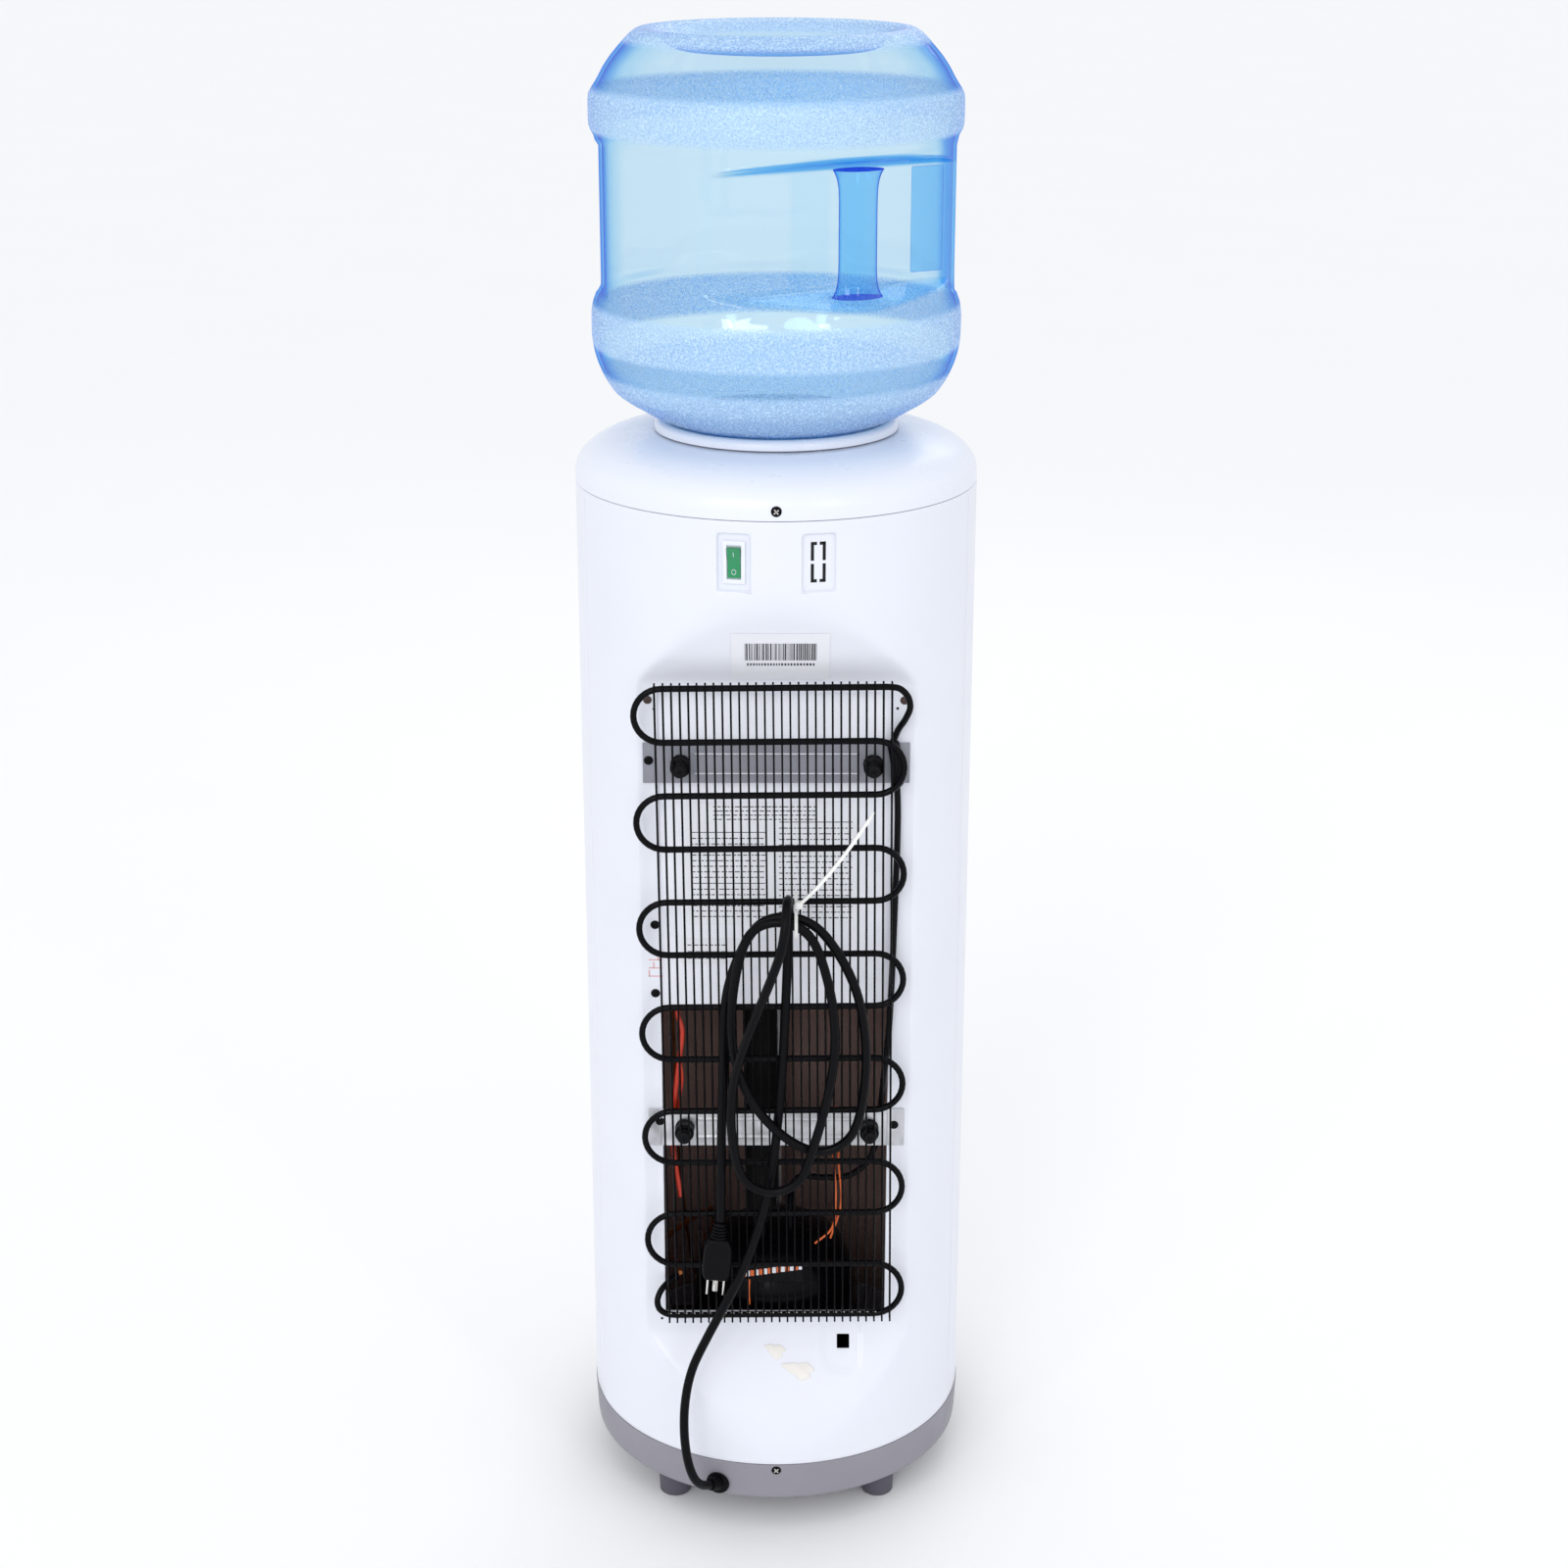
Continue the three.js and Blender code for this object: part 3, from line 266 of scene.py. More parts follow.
# Each finish's colour and roughness, and what else it changes in finish_of.
FINISHES = {
    "white_enamel": ((0.765, 0.785, 0.86), 0.33, {"tone": 0.985, "grain": 420, "depth": 0.04,
        "Coat_Weight": 0.1, "Coat_Roughness": 0.15}),
    # painted shade: a dark warm brown on the shells' inner faces that stands in for the shaded inside of the
    # cabinet, not the wall's own colour
    "painted_inner_shade": ((0.40, 0.27, 0.245), 0.7, {"tone": 0.7, "blotch": 9}),
    "white_plastic": ((0.775, 0.80, 0.885), 0.30, {"tone": 0.985, "depth": 0.05}),
    "grey_plastic": ((0.27, 0.26, 0.30), 0.5, {"grain": 1600, "depth": 0.3}),
    "dark_grey": ((0.085, 0.08, 0.105), 0.5, {"grain": 1600, "depth": 0.3}),
    "back_plate_steel": ((0.84, 0.85, 0.92), 0.45, {"tone": 0.94, "blotch": 22}),
    "blue_cap": ((0.03, 0.13, 0.48), 0.45),
    "red_plastic": ((0.56, 0.02, 0.02), 0.3, {"Coat_Weight": 0.3}),
    "blue_plastic": ((0.015, 0.09, 0.46), 0.3, {"Coat_Weight": 0.3}),
    "green_lens": ((0.03, 0.40, 0.08), 0.15, {"Coat_Weight": 0.6}),
    "red_lens": ((0.65, 0.04, 0.03), 0.15, {"Coat_Weight": 0.6}),
    "amber_lens": ((0.70, 0.37, 0.02), 0.15, {"Coat_Weight": 0.6}),
    "green_rocker": ((0.003, 0.26, 0.09), 0.22, {"tone": 0.8, "Coat_Weight": 0.5}),
    "stainless": ((0.55, 0.56, 0.58), 0.28, {"metallic": 1.0, "blotch": 30}),
    "black_enamel": ((0.002, 0.002, 0.0035), 0.24, {"tone": 0.6, "blotch": 60, "depth": 0.05,
        "Specular_IOR_Level": 0.1}),
    "bracket_paint": ((0.27, 0.275, 0.32), 0.42, {"tone": 0.8, "blotch": 25}),
    "galvanised": ((0.62, 0.63, 0.66), 0.33, {"metallic": 0.85, "tone": 0.75, "blotch": 90}),
    # painted highlight: a light colour for the thin strip along the brackets' ridge tops
    "painted_ridge_highlight": ((0.78, 0.79, 0.84), 0.3),
    "black_plastic": ((0.003, 0.003, 0.004), 0.45, {"depth": 0.25, "Specular_IOR_Level": 0.12}),
    "black_rubber": ((0.002, 0.002, 0.003), 0.34, {"tone": 0.7, "depth": 0.1, "Specular_IOR_Level": 0.1}),
    "copper": ((0.48, 0.17, 0.06), 0.32, {"metallic": 1.0, "tone": 0.6, "blotch": 40}),
    "foam": ((0.80, 0.76, 0.67), 0.9, {"grain": 260, "depth": 0.8}),
    "black_foam": ((0.004, 0.004, 0.004), 0.85, {"grain": 500, "depth": 0.9, "Specular_IOR_Level": 0.1}),
    "silicone": ((0.73, 0.76, 0.79), 0.35),
    "nylon": ((0.86, 0.86, 0.84), 0.35),
    "label_paper": ((0.80, 0.81, 0.86), 0.4, {"tone": 0.97, "blotch": 20, "depth": 0.05}),
    "print": ((0.035, 0.035, 0.045), 0.5),
    "red_print": ((0.72, 0.34, 0.34), 0.5),
    "brown_plug": ((0.045, 0.022, 0.016), 0.4),
    "red_wire": ((0.55, 0.035, 0.015), 0.35),
    "orange_wire": ((0.72, 0.13, 0.02), 0.35),
    "bright_metal": ((0.75, 0.74, 0.71), 0.2, {"metallic": 1.0, "blotch": 80}),
    # painted shade: near black, for discs and strokes that stand in for holes and gaps which are not cut
    "dark_hole": ((0.004, 0.004, 0.005), 0.8),
    "residue": ((0.83, 0.80, 0.76), 0.55, {"tone": 0.94, "blotch": 120}),
    "floor": ((0.915, 0.92, 0.93), 0.85, {"tone": 0.995, "blotch": 2, "depth": 0.02}),
}


def make_materials():
    made = {name: finish_of(name, color, roughness, **dict(*more))
            for name, (color, roughness, *more) in FINISHES.items()}
    made["bottle_plastic"] = bottle_material("bottle_plastic", 1.0)
    made["grip_plastic"] = bottle_material("grip_plastic", 5.0)
    return made


# ---------- shapes ----------

class Shape:
    """Points and faces in millimetres, gathered until they become one piece."""

    def __init__(self):
        self.points = []
        self.faces = []
        self.slots = []

    def add(self, made, slot=0, place=None):
        points, faces = made
        base = len(self.points)
        self.points += [tuple(place @ Vector(p)) if place else tuple(p) for p in points]
        self.faces += [tuple(base + i for i in face) for face in faces]
        self.slots += [slot] * len(faces)
        return self


def piece(name, shape, materials, nodes=(), body="cabinet", slot=None, sharp=35):
    """Makes the mesh object, lets it ride on its body and stand for the CAD nodes it replaces.

    The slot argument is not used.
    """
    mesh = bpy.data.meshes.new(name)
    mesh.from_pydata([(x * MM, y * MM, z * MM) for x, y, z in shape.points], [], shape.faces)
    names = [materials] if isinstance(materials, str) else materials
    slot = slot or names[0]
    for material in names:
        mesh.materials.append(M[material])
    mesh.polygons.foreach_set("material_index", shape.slots)
    mesh.validate()
    flat = bmesh.new()
    flat.from_mesh(mesh)
    bmesh.ops.recalc_face_normals(flat, faces=flat.faces)
    flat.to_mesh(mesh)
    flat.free()
    mesh.shade_smooth()
    mesh.set_sharp_from_angle(angle=math.radians(sharp))
    made = bpy.data.objects.new(name, mesh)
    bpy.context.scene.collection.objects.link(made)
    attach(made, body)
    if nodes:
        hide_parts(*nodes)
    return made


def turned(degrees, axis="Z"):
    return Matrix.Rotation(math.radians(degrees), 4, axis)


def facing_out(x, y, z):
    """Stands a shape built along +Z on the point so that it looks along +Y."""
    return Matrix.Translation((x, y, z)) @ turned(-90, "X")


def rings(rows, sides):
    """The faces between successive rings of points."""
    faces = []
    for i in range(rows - 1):
        for k in range(sides):
            a, b = i * sides + k, i * sides + (k + 1) % sides
            faces.append((a, b, b + sides, a + sides))
    return faces


def capped(rows, sides):
    """The same, closed by a face at either end."""
    ends = [tuple(reversed(range(sides))), tuple(range((rows - 1) * sides, rows * sides))]
    return rings(rows, sides) + ends


def lathe(profile, segments=96, centre=(0, 0)):
    """A profile of (radius, height) turned about a vertical axis: closed on the axis, or a loop."""
    points, faces = [], []
    circles = []
    loop = profile[0] == profile[-1]
    rows = profile[:-1] if loop else profile
    for r, z in rows:
        if r < 1e-6:
            circles.append([len(points)])
            points.append((centre[0], centre[1], z))
            continue
        circles.append(list(range(len(points), len(points) + segments)))
        for k in range(segments):
            angle = 2 * math.pi * k / segments
            points.append((centre[0] + r * math.cos(angle), centre[1] + r * math.sin(angle), z))
    for a, b in zip(circles, circles[1:] + ([circles[0]] if loop else [])):
        for k in range(segments):
            n = (k + 1) % segments
            if len(a) == 1 and len(b) == 1:
                continue
            if len(a) == 1:
                faces.append((a[0], b[n], b[k]))
            elif len(b) == 1:
                faces.append((a[k], a[n], b[0]))
            else:
                faces.append((a[k], a[n], b[n], b[k]))
    return points, faces


def rounded(profile, radius=1.0, steps=4, closed=False):
    """The same profile with its corners rounded off, each as a short curve."""
    made = []
    count = len(profile)
    for i, point in enumerate(profile):
        here = Vector(point)
        if not closed and i in (0, count - 1):
            made.append(tuple(here))
            continue
        before = Vector(profile[i - 1])
        after = Vector(profile[(i + 1) % count])
        cut = min(radius, 0.45 * (before - here).length, 0.45 * (after - here).length)
        start = here + (before - here).normalized() * cut
        end = here + (after - here).normalized() * cut
        for k in range(steps + 1):
            t = k / steps
            made.append(tuple(start * (1 - t) ** 2 + here * 2 * t * (1 - t) + end * t * t))
    return made


def through(points, step):
    """Points about a step apart on the centripetal Catmull-Rom curve through the given ones."""
    given = [Vector(p) for p in points]
    ends = [given[0] * 2 - given[1]] + given + [given[-1] * 2 - given[-2]]
    made = []
    for a, b, c, d in zip(ends, ends[1:], ends[2:], ends[3:]):
        t1 = (b - a).length ** 0.5
        t2 = t1 + (c - b).length ** 0.5
        t3 = t2 + (d - c).length ** 0.5
        count = max(1, round((c - b).length / step))
        for k in range(count):
            t = t1 + (t2 - t1) * k / count
            ab = a * ((t1 - t) / t1) + b * (t / t1)
            bc = b * ((t2 - t) / (t2 - t1)) + c * ((t - t1) / (t2 - t1))
            cd = c * ((t3 - t) / (t3 - t2)) + d * ((t - t2) / (t3 - t2))
            abc = ab * ((t2 - t) / t2) + bc * (t / t2)
            bcd = bc * ((t3 - t) / (t3 - t1)) + cd * ((t - t1) / (t3 - t1))
            made.append(abc * ((t2 - t) / (t2 - t1)) + bcd * ((t - t1) / (t2 - t1)))
    made.append(given[-1])
    return made


def tube(path, radius, sides=12):
    """A tube with flat ends along the path. The radius is one number or one for each point."""
    path = [Vector(p) for p in path]
    radii = [radius] * len(path) if isinstance(radius, (int, float)) else radius
    points = []
    side = None
    for i, here in enumerate(path):
        along = (path[min(i + 1, len(path) - 1)] - path[max(i - 1, 0)]).normalized()
        if side is None:
            side = along.orthogonal().normalized()
        side = (side - along * side.dot(along)).normalized()
        other = along.cross(side)
        for k in range(sides):
            angle = 2 * math.pi * k / sides
            points.append(here + (side * math.cos(angle) + other * math.sin(angle)) * radii[i])
    return points, capped(len(path), sides)


def bar(a, b, radius, sides=12):
    return tube([a, b], radius, sides)


def block(x, y, z, bevel=0.4, segments=2):
    """A box between two corners with rounded edges."""
    form = bmesh.new()
    bmesh.ops.create_cube(form, size=1)
    middle = [(side[0] + side[1]) / 2 for side in (x, y, z)]
    size = [abs(side[1] - side[0]) for side in (x, y, z)]
    for vertex in form.verts:
        vertex.co = Vector(m + s * c for m, s, c in zip(middle, size, vertex.co))
    if bevel:
        bmesh.ops.bevel(form, geom=form.edges[:], offset=min(bevel, min(size) * 0.45), segments=segments,
                        profile=0.5, affect="EDGES")
    return taken(form)


def taken(form):
    form.verts.index_update()
    points = [tuple(v.co) for v in form.verts]
    faces = [tuple(v.index for v in f.verts) for f in form.faces]
    form.free()
    return points, faces


def slab(outline, thickness, bevel=0.3, segments=2):
    """An outline in the XY plane extruded up by its thickness, its rims rounded."""
    form = bmesh.new()
    face = form.faces.new([form.verts.new((x, y, 0)) for x, y in outline])
    up = bmesh.ops.extrude_face_region(form, geom=[face])["geom"]
    top = [v for v in up if isinstance(v, bmesh.types.BMVert)]
    bmesh.ops.translate(form, verts=top, vec=(0, 0, thickness))
    if bevel:
        rims = [e for e in form.edges if abs(e.verts[0].co.z - e.verts[1].co.z) < 1e-6]
        bmesh.ops.bevel(form, geom=rims, offset=bevel, segments=segments, profile=0.5, affect="EDGES")
    return taken(form)


def rectangle(x, y, radius=0.0, steps=5):
    corners = [(x[0], y[0]), (x[1], y[0]), (x[1], y[1]), (x[0], y[1])]
    return rounded(corners, radius, steps, closed=True) if radius else corners


def upright(y, turn=0, z=0):
    """Stands an outline upright, facing +Y: its x runs against the row's X, so that it reads from behind."""
    return turned(turn) @ Matrix(((-1, 0, 0, 0), (0, 0, 1, y), (0, 1, 0, z), (0, 0, 0, 1)))


def refined(node, material, bevel, name=None, sharp=35):
    """A copy of a CAD node with its edges rounded."""
    source = frame["nodes"][node]
    made = bpy.data.objects.new(name or f"{node}_fine", source.data.copy())
    bpy.context.scene.collection.objects.link(made)
    made.data.materials.clear()
    made.data.materials.append(M[material])
    form = bmesh.new()
    form.from_mesh(made.data)
    bmesh.ops.remove_doubles(form, verts=form.verts, dist=1e-6)
    bmesh.ops.dissolve_limit(form, angle_limit=math.radians(1), verts=form.verts, edges=form.edges)
    form.to_mesh(made.data)
    form.free()
    made.data.shade_smooth()
    made.data.set_sharp_from_angle(angle=math.radians(sharp))
    edge = made.modifiers.new("edges", "BEVEL")
    edge.width = bevel * MM
    edge.segments = 3
    edge.limit_method = "ANGLE"
    edge.angle_limit = math.radians(40)
    edge.use_clamp_overlap = True
    body = next(b for b, members in frame["record"]["behaviour"]["bodies"].items() if node in members)
    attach(made, body)
    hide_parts(node)
    return made


def phillips(x, z, y, radius, head=1.4, turn=20):
    """A pan-head screw with a cross recess, its head standing out of y towards +Y."""
    dome = [(0, head), (radius * 0.5, head * 0.95), (radius * 0.85, head * 0.6), (radius, 0), (0, 0)]
    stand = facing_out(x, y, z)
    shape = Shape().add(lathe(dome, 24), 0, stand)
    for angle in (turn, turn + 90):
        cross = block((-radius * 0.55, radius * 0.55), (-radius * 0.11, radius * 0.11),
                      (head * 0.8, head * 1.02), 0.05, 1)
        shape.add(cross, 1, stand @ turned(angle))
    return shape


# ---------- mains cord ----------

CORD_ROUTE = [
    (0.0523, 0.1531, 0.0450), (0.0586, 0.1635, 0.0510), (0.0650, 0.1705, 0.0650), (0.0700, 0.1685, 0.0900),
    (0.0705, 0.1595, 0.1180), (0.0650, 0.1520, 0.1460), (0.0520, 0.1495, 0.1750), (0.0250, 0.1485, 0.2320),
    (0.0070, 0.1390, 0.2880), (-0.0030, 0.1331, 0.3700), (-0.0090, 0.1331, 0.5080),
    (-0.0090, 0.1394, 0.5276), (-0.0080, 0.1545, 0.5342), (-0.0070, 0.1693, 0.5276),
    (-0.0045, 0.1750, 0.5070), (0.0320, 0.1500, 0.3850), (0.0310, 0.1500, 0.3280), (0.0220, 0.1500, 0.3040),
    (0.0030, 0.1500, 0.2965), (-0.0165, 0.1500, 0.3050), (-0.0270, 0.1500, 0.3320),
    (-0.0430, 0.1496, 0.4100), (-0.0380, 0.1496, 0.4670), (-0.0220, 0.1500, 0.5080),
    (-0.0020, 0.1500, 0.5160), (0.0170, 0.1460, 0.5080), (0.0310, 0.1415, 0.4620), (0.0310, 0.1417, 0.4040),
    (0.0150, 0.1419, 0.3630), (-0.0110, 0.1422, 0.3355), (-0.0340, 0.1422, 0.3265),
    (-0.0550, 0.1420, 0.3380), (-0.0665, 0.1415, 0.3980), (-0.0570, 0.1415, 0.4630),
    (-0.0290, 0.1420, 0.5090), (-0.0110, 0.1428, 0.5170), (0.0100, 0.1392, 0.5120),
    (0.0345, 0.1331, 0.4620), (0.0400, 0.1340, 0.3760), (0.0420, 0.1415, 0.2690),
]


def eased(line, reach):
    """The same line with its bends evened out: each point becomes the mean of those about it."""
    made = []
    for i in range(len(line)):
        near = min(reach, i, len(line) - 1 - i)
        made.append(sum(line[i - near:i + near + 1], Vector((0, 0, 0))) / (2 * near + 1))
    return made


def make_cord():
    line = eased(eased(through(CORD_ROUTE, 0.001), 8), 8)[::4] + [Vector(CORD_ROUTE[-1])]
    data = bpy.data.curves.new("mains_cord", "CURVE")
    data.dimensions = "3D"
    data.bevel_depth = CORD_D / 2
    data.bevel_resolution = 5
    data.use_fill_caps = True
    spline = data.splines.new("POLY")
    spline.points.add(len(line) - 1)
    for point, at in zip(spline.points, line):
        point.co = (*at, 1)
    spline.use_smooth = True
    cord = bpy.data.objects.new("mains_cord", data)
    bpy.context.scene.collection.objects.link(cord)
    data.materials.append(M["black_rubber"])
    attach(cord, "cabinet")
    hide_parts("power_cord")
    with_pieces = [make_gland(), make_plug(), make_tie()]


def make_gland():
    """The strain relief: a flange square to the base and a ribbed, tapered sleeve turned to the cord."""
    flange = [(0, -7), (5.8, -7), (5.8, 0.6), (9.2, 0.6), (9.3, 1.4), (8.7, 2.6), (6.4, 3.0), (0, 3.0)]
    sleeve = [(0, 2.4), (6.2, 2.4)]
    for k in range(6):
        out = 6.3 - 0.28 * k
        start = 3.4 + 1.65 * k
        rib = [(0, 0), (0.1, 1.0), (0.8, 1.15), (0.85, 1.5)]
        sleeve += [(out - less, start + up) for less, up in rib]
    sleeve += [(4.4, 13.8), (0, 13.8)]
    shape = Shape()
    for profile, way in ((flange, GLAND_WAY), (sleeve, CORD_WAY)):
        turn = Vector((0, 0, 1)).rotation_difference(way).to_matrix().to_4x4()
        shape.add(lathe(profile, 40), 0, Matrix.Translation(GLAND_AT) @ turn)
    return piece("cord_strain_relief", shape, "black_rubber", ["cord_gland"])


def make_plug():
    """A moulded three-pin plug with finger ribs and a stepped neck; its pins point down."""
    shape = Shape()
    neck = [(0, 0), (3.9, 0)]
    for k in range(5):
        out = 5.0 + 0.5 * k
        neck += [(out, -0.8 - 2.4 * k), (out + 0.1, -2.2 - 2.4 * k), (out - 1.0, -2.4 - 2.4 * k),
                 (out - 1.0, -3.1 - 2.4 * k)]
    neck += [(6.6, -14), (0, -14)]
    shape.add(lathe(neck, 32))
    face = [(-6.4, -12), (6.4, -12), (8.6, -14.5), (10.7, -20), (11.1, -30), (11.1, -41), (8.6, -46.8),
            (-8.6, -46.8), (-11.1, -41), (-11.1, -30), (-10.7, -20), (-8.6, -14.5)]
    stand = Matrix.Translation((0, 8.4, 0)) @ turned(90, "X")
    shape.add(slab(rounded(face, 2.5, 4, closed=True), 16.8, 2.6, 4), 0, stand)
    for k in range(4):
        z = -22.5 - 3.4 * k
        shape.add(block((-7.2, 7.2), (-8.45, 8.45), (z - 0.7, z + 0.7), 0.5))
    for side in (-1, 1):
        shape.add(block((side * 6.2 - 0.75, side * 6.2 + 0.75), (-1.2, 4.9), (-59.8, -46), 0.3), 1)
    shape.add(bar((0, -5.6, -46), (0, -5.6, -61.5), 2.3, 20), 1)
    end = Vector(CORD_ROUTE[-1]) / MM
    tilt = turned(-PLUG_TILT, "Y")
    place = Matrix.Translation(end + Vector((0.3, 0, -0.9))) @ tilt
    shape.points = [tuple(place @ Vector(p)) for p in shape.points]
    return piece("mains_plug", shape, ["black_rubber", "bright_metal"], ["power_plug"])


def make_tie():
    """A nylon tie: its band goes round the cord's bends and one condenser row, and its tail is left long."""
    inside = [(121.9, 518), (121.9, 524.5), (125, 527.2), (133, 525.5), (146, 521.5), (153.4, 515.5),
              (153.9, 509), (151, 504.6), (146, 504.4), (133, 510), (125, 515.5)]
    ring = [Vector((0, 138.1 + (y - 138) * 1.045, 515.5 + (z - 515.5) * 1.07)) for y, z in inside]
    loop = through(ring + ring[:2], 1.2)
    shape = Shape()
    points = []
    section = [(-1.2, -0.45), (1.2, -0.45), (1.2, 0.45), (-1.2, 0.45)]
    for i, here in enumerate(loop[:-1]):
        along = (loop[(i + 1) % (len(loop) - 1)] - loop[i - 1 if i else -2]).normalized()
        out = Vector((0, along.z, -along.y))
        points += [here + Vector((-14.35 + x, 0, 0)) + out * t for x, t in section]
    faces = [tuple(i % len(points) for i in face) for face in rings(len(points) // 4 + 1, 4)]
    shape.add((points, faces))
    shape.add(block((-19.3, -13.3), (141.2, 146.8), (524.1, 529.3), 0.6))
    tail = through([(-16.5, 144.2, 526.5), (-30, 147.6, 542), (-50, 147.2, 568), (-70, 143, 597.4)], 2)
    shape.add(tube(tail, [1.6] * (len(tail) - 4) + [1.5, 1.3, 1.0, 0.6], 4))
    return piece("nylon_tie", shape, "nylon", ["cable_tie"], sharp=30)


# ---------- cabinet ----------

def lines_between(low, high, step, exact=()):
    """Evenly spread values with the exact ones among them and none crowded against those."""
    spread = list(np.linspace(low, high, max(2, round((high - low) / step) + 1)))
    kept = [v for v in spread if all(abs(v - e) > step * 0.3 for e in exact) or v in (low, high)]
    return np.array(sorted(set(kept) | set(exact)))


def soft_positive(t, width):
    return np.where(t < -width, 0, np.where(t > width, t, (t + width) ** 2 / (4 * width)))


def soft_least(a, b, width):
    h = np.clip(0.5 + 0.5 * (b - a) / width, 0, 1)
    return b * (1 - h) + a * h - width * h * (1 - h)


def recess_plane(z):
    """How far out the rear recess stands at height z: a flat, with a slope to the wall above and below it."""
    return FLAT_Y + SLOPE * (soft_positive(z - FLAT_Z[1], 2.0) + soft_positive(FLAT_Z[0] - z, 3.0))


def rear_wall(theta, z):
    """The rear wall's points: as wide as the round body, and pressed in to the recess."""
    x, round_y = BODY_R * np.cos(theta), BODY_R * np.sin(theta)
    away = np.clip(np.maximum(z - FLAT_Z[1], FLAT_Z[0] - z) / 60, 0, 1)
    y = soft_least(recess_plane(z), round_y, 1.2 + 9 * away)
    dimple = np.clip(1.25 - ((x + 51) / 14.5) ** 4 - ((z - 148) / 18) ** 4, 0, 0.25) * 4
    return np.stack([x, np.minimum(y, round_y) - 0.9 * dimple, z], axis=-1)


def round_wall(theta, z):
    return np.stack([BODY_R * np.cos(theta), BODY_R * np.sin(theta), z], axis=-1)


def wrapped(theta, z, wall, hole):
    """The wall over a grid of angles and heights, without the cells that hole leaves out."""
    t, h = np.meshgrid(theta, z, indexing="ij")
    points = wall(t, h).reshape(-1, 3)
    columns = len(z)
    faces = []
    for i in range(len(theta) - 1):
        for k in range(columns - 1):
            middle = ((theta[i] + theta[i + 1]) / 2, (z[k] + z[k + 1]) / 2)
            if not hole(*middle):
                a = i * columns + k
                faces.append((a, a + columns, a + columns + 1, a + 1))
    return points.tolist(), faces


def thickened(made, thickness, rim=0.5):
    """Gives a wall its thickness inwards, with a second material inside and eased rims."""
    solid = made.modifiers.new("wall", "SOLIDIFY")
    solid.thickness = thickness * MM
    solid.offset = -1
    solid.use_even_offset = True
    solid.material_offset = 1
    solid.material_offset_rim = 0
    edge = made.modifiers.new("rims", "BEVEL")
    edge.width = rim * MM
    edge.segments = 2
    edge.limit_method = "ANGLE"
    edge.angle_limit = math.radians(60)
    return made


def loosened(shape):
    """Drops the points that no face uses."""
    used = sorted({i for face in shape.faces for i in face})
    place = {old: new for new, old in enumerate(used)}
    shape.points = [shape.points[i] for i in used]
    shape.faces = [tuple(place[i] for i in face) for face in shape.faces]
    return shape


POCKET = (12.2, 21.0)
POCKET_FLOOR = 144.7
BEZEL_FLOOR = 145.35
SQUARE_HOLE = (-56.8, -47.2, 143.3, 152.7)


def make_rear_shell():
    window = [math.acos(x / BODY_R) for x in WINDOW_X]
    square = [math.acos(x / BODY_R) for x in SQUARE_HOLE[:2]]
    border = [math.acos(x / BODY_R) for x in (-102.4, -101.2, -100, 100, 101.2, 102.4)]
    half = math.asin(POCKET[0] / BODY_R)
    pockets = []
    for turn in (SWITCH_TURN, -SWITCH_TURN):
        centre = math.radians(90 + turn)
        pockets.append((centre - half, centre + half))
    low, high = math.radians(90 - SEAM_ANGLE + 0.1), math.radians(90 + SEAM_ANGLE - 0.1)
    theta = lines_between(low, high, math.radians(0.7), [*window, *square, *border, *pockets[0], *pockets[1]])
    pocket_z = (SWITCH_Z - POCKET[1], SWITCH_Z + POCKET[1])
    z = lines_between(SHELL_Z[0], SHELL_Z[1], 3.2, [*WINDOW_Z, *SQUARE_HOLE[2:], *pocket_z])

    def hole(angle, height):
        if window[1] < angle < window[0] and WINDOW_Z[0] < height < WINDOW_Z[1]:
            return True
        if square[1] < angle < square[0] and SQUARE_HOLE[2] < height < SQUARE_HOLE[3]:
            return True
        return any(a < angle < b for a, b in pockets) and pocket_z[0] < height < pocket_z[1]

    shape = loosened(Shape().add(wrapped(theta, z, rear_wall, hole)))
    # the wall's inner face takes the painted shade material
    made = piece("rear_panel", shape, ["white_enamel", "painted_inner_shade"], ["rear_shell"])
    outwards(made)
    thickened(made, WALL)


def make_front_shell():
    edge = math.asin(ALCOVE_X / BODY_R)
    alcove = (math.radians(270) - edge, math.radians(270) + edge)
    low, high = math.radians(90 + SEAM_ANGLE + 0.15), math.radians(450 - SEAM_ANGLE - 0.15)
    theta = lines_between(low, high, math.radians(1.2), alcove)
    z = lines_between(SHELL_Z[0], SHELL_Z[1], 20, ALCOVE_Z)

    def hole(angle, height):
        return alcove[0] < angle < alcove[1] and ALCOVE_Z[0] < height < ALCOVE_Z[1]

    shape = loosened(Shape().add(wrapped(theta, z, round_wall, hole)))
    # the wall's inner face takes the painted shade material
    made = piece("front_panel", shape, ["white_enamel", "painted_inner_shade"], ["front_shell"])
    outwards(made)
    thickened(made, WALL, 0.8)


def outwards(made):
    """Turns an open wall's faces so that they look away from the cabinet's axis."""
    face = max(made.data.polygons, key=lambda p: p.area)
    if face.normal.dot(Vector((face.center.x, face.center.y, 0))) < 0:
        made.data.flip_normals()


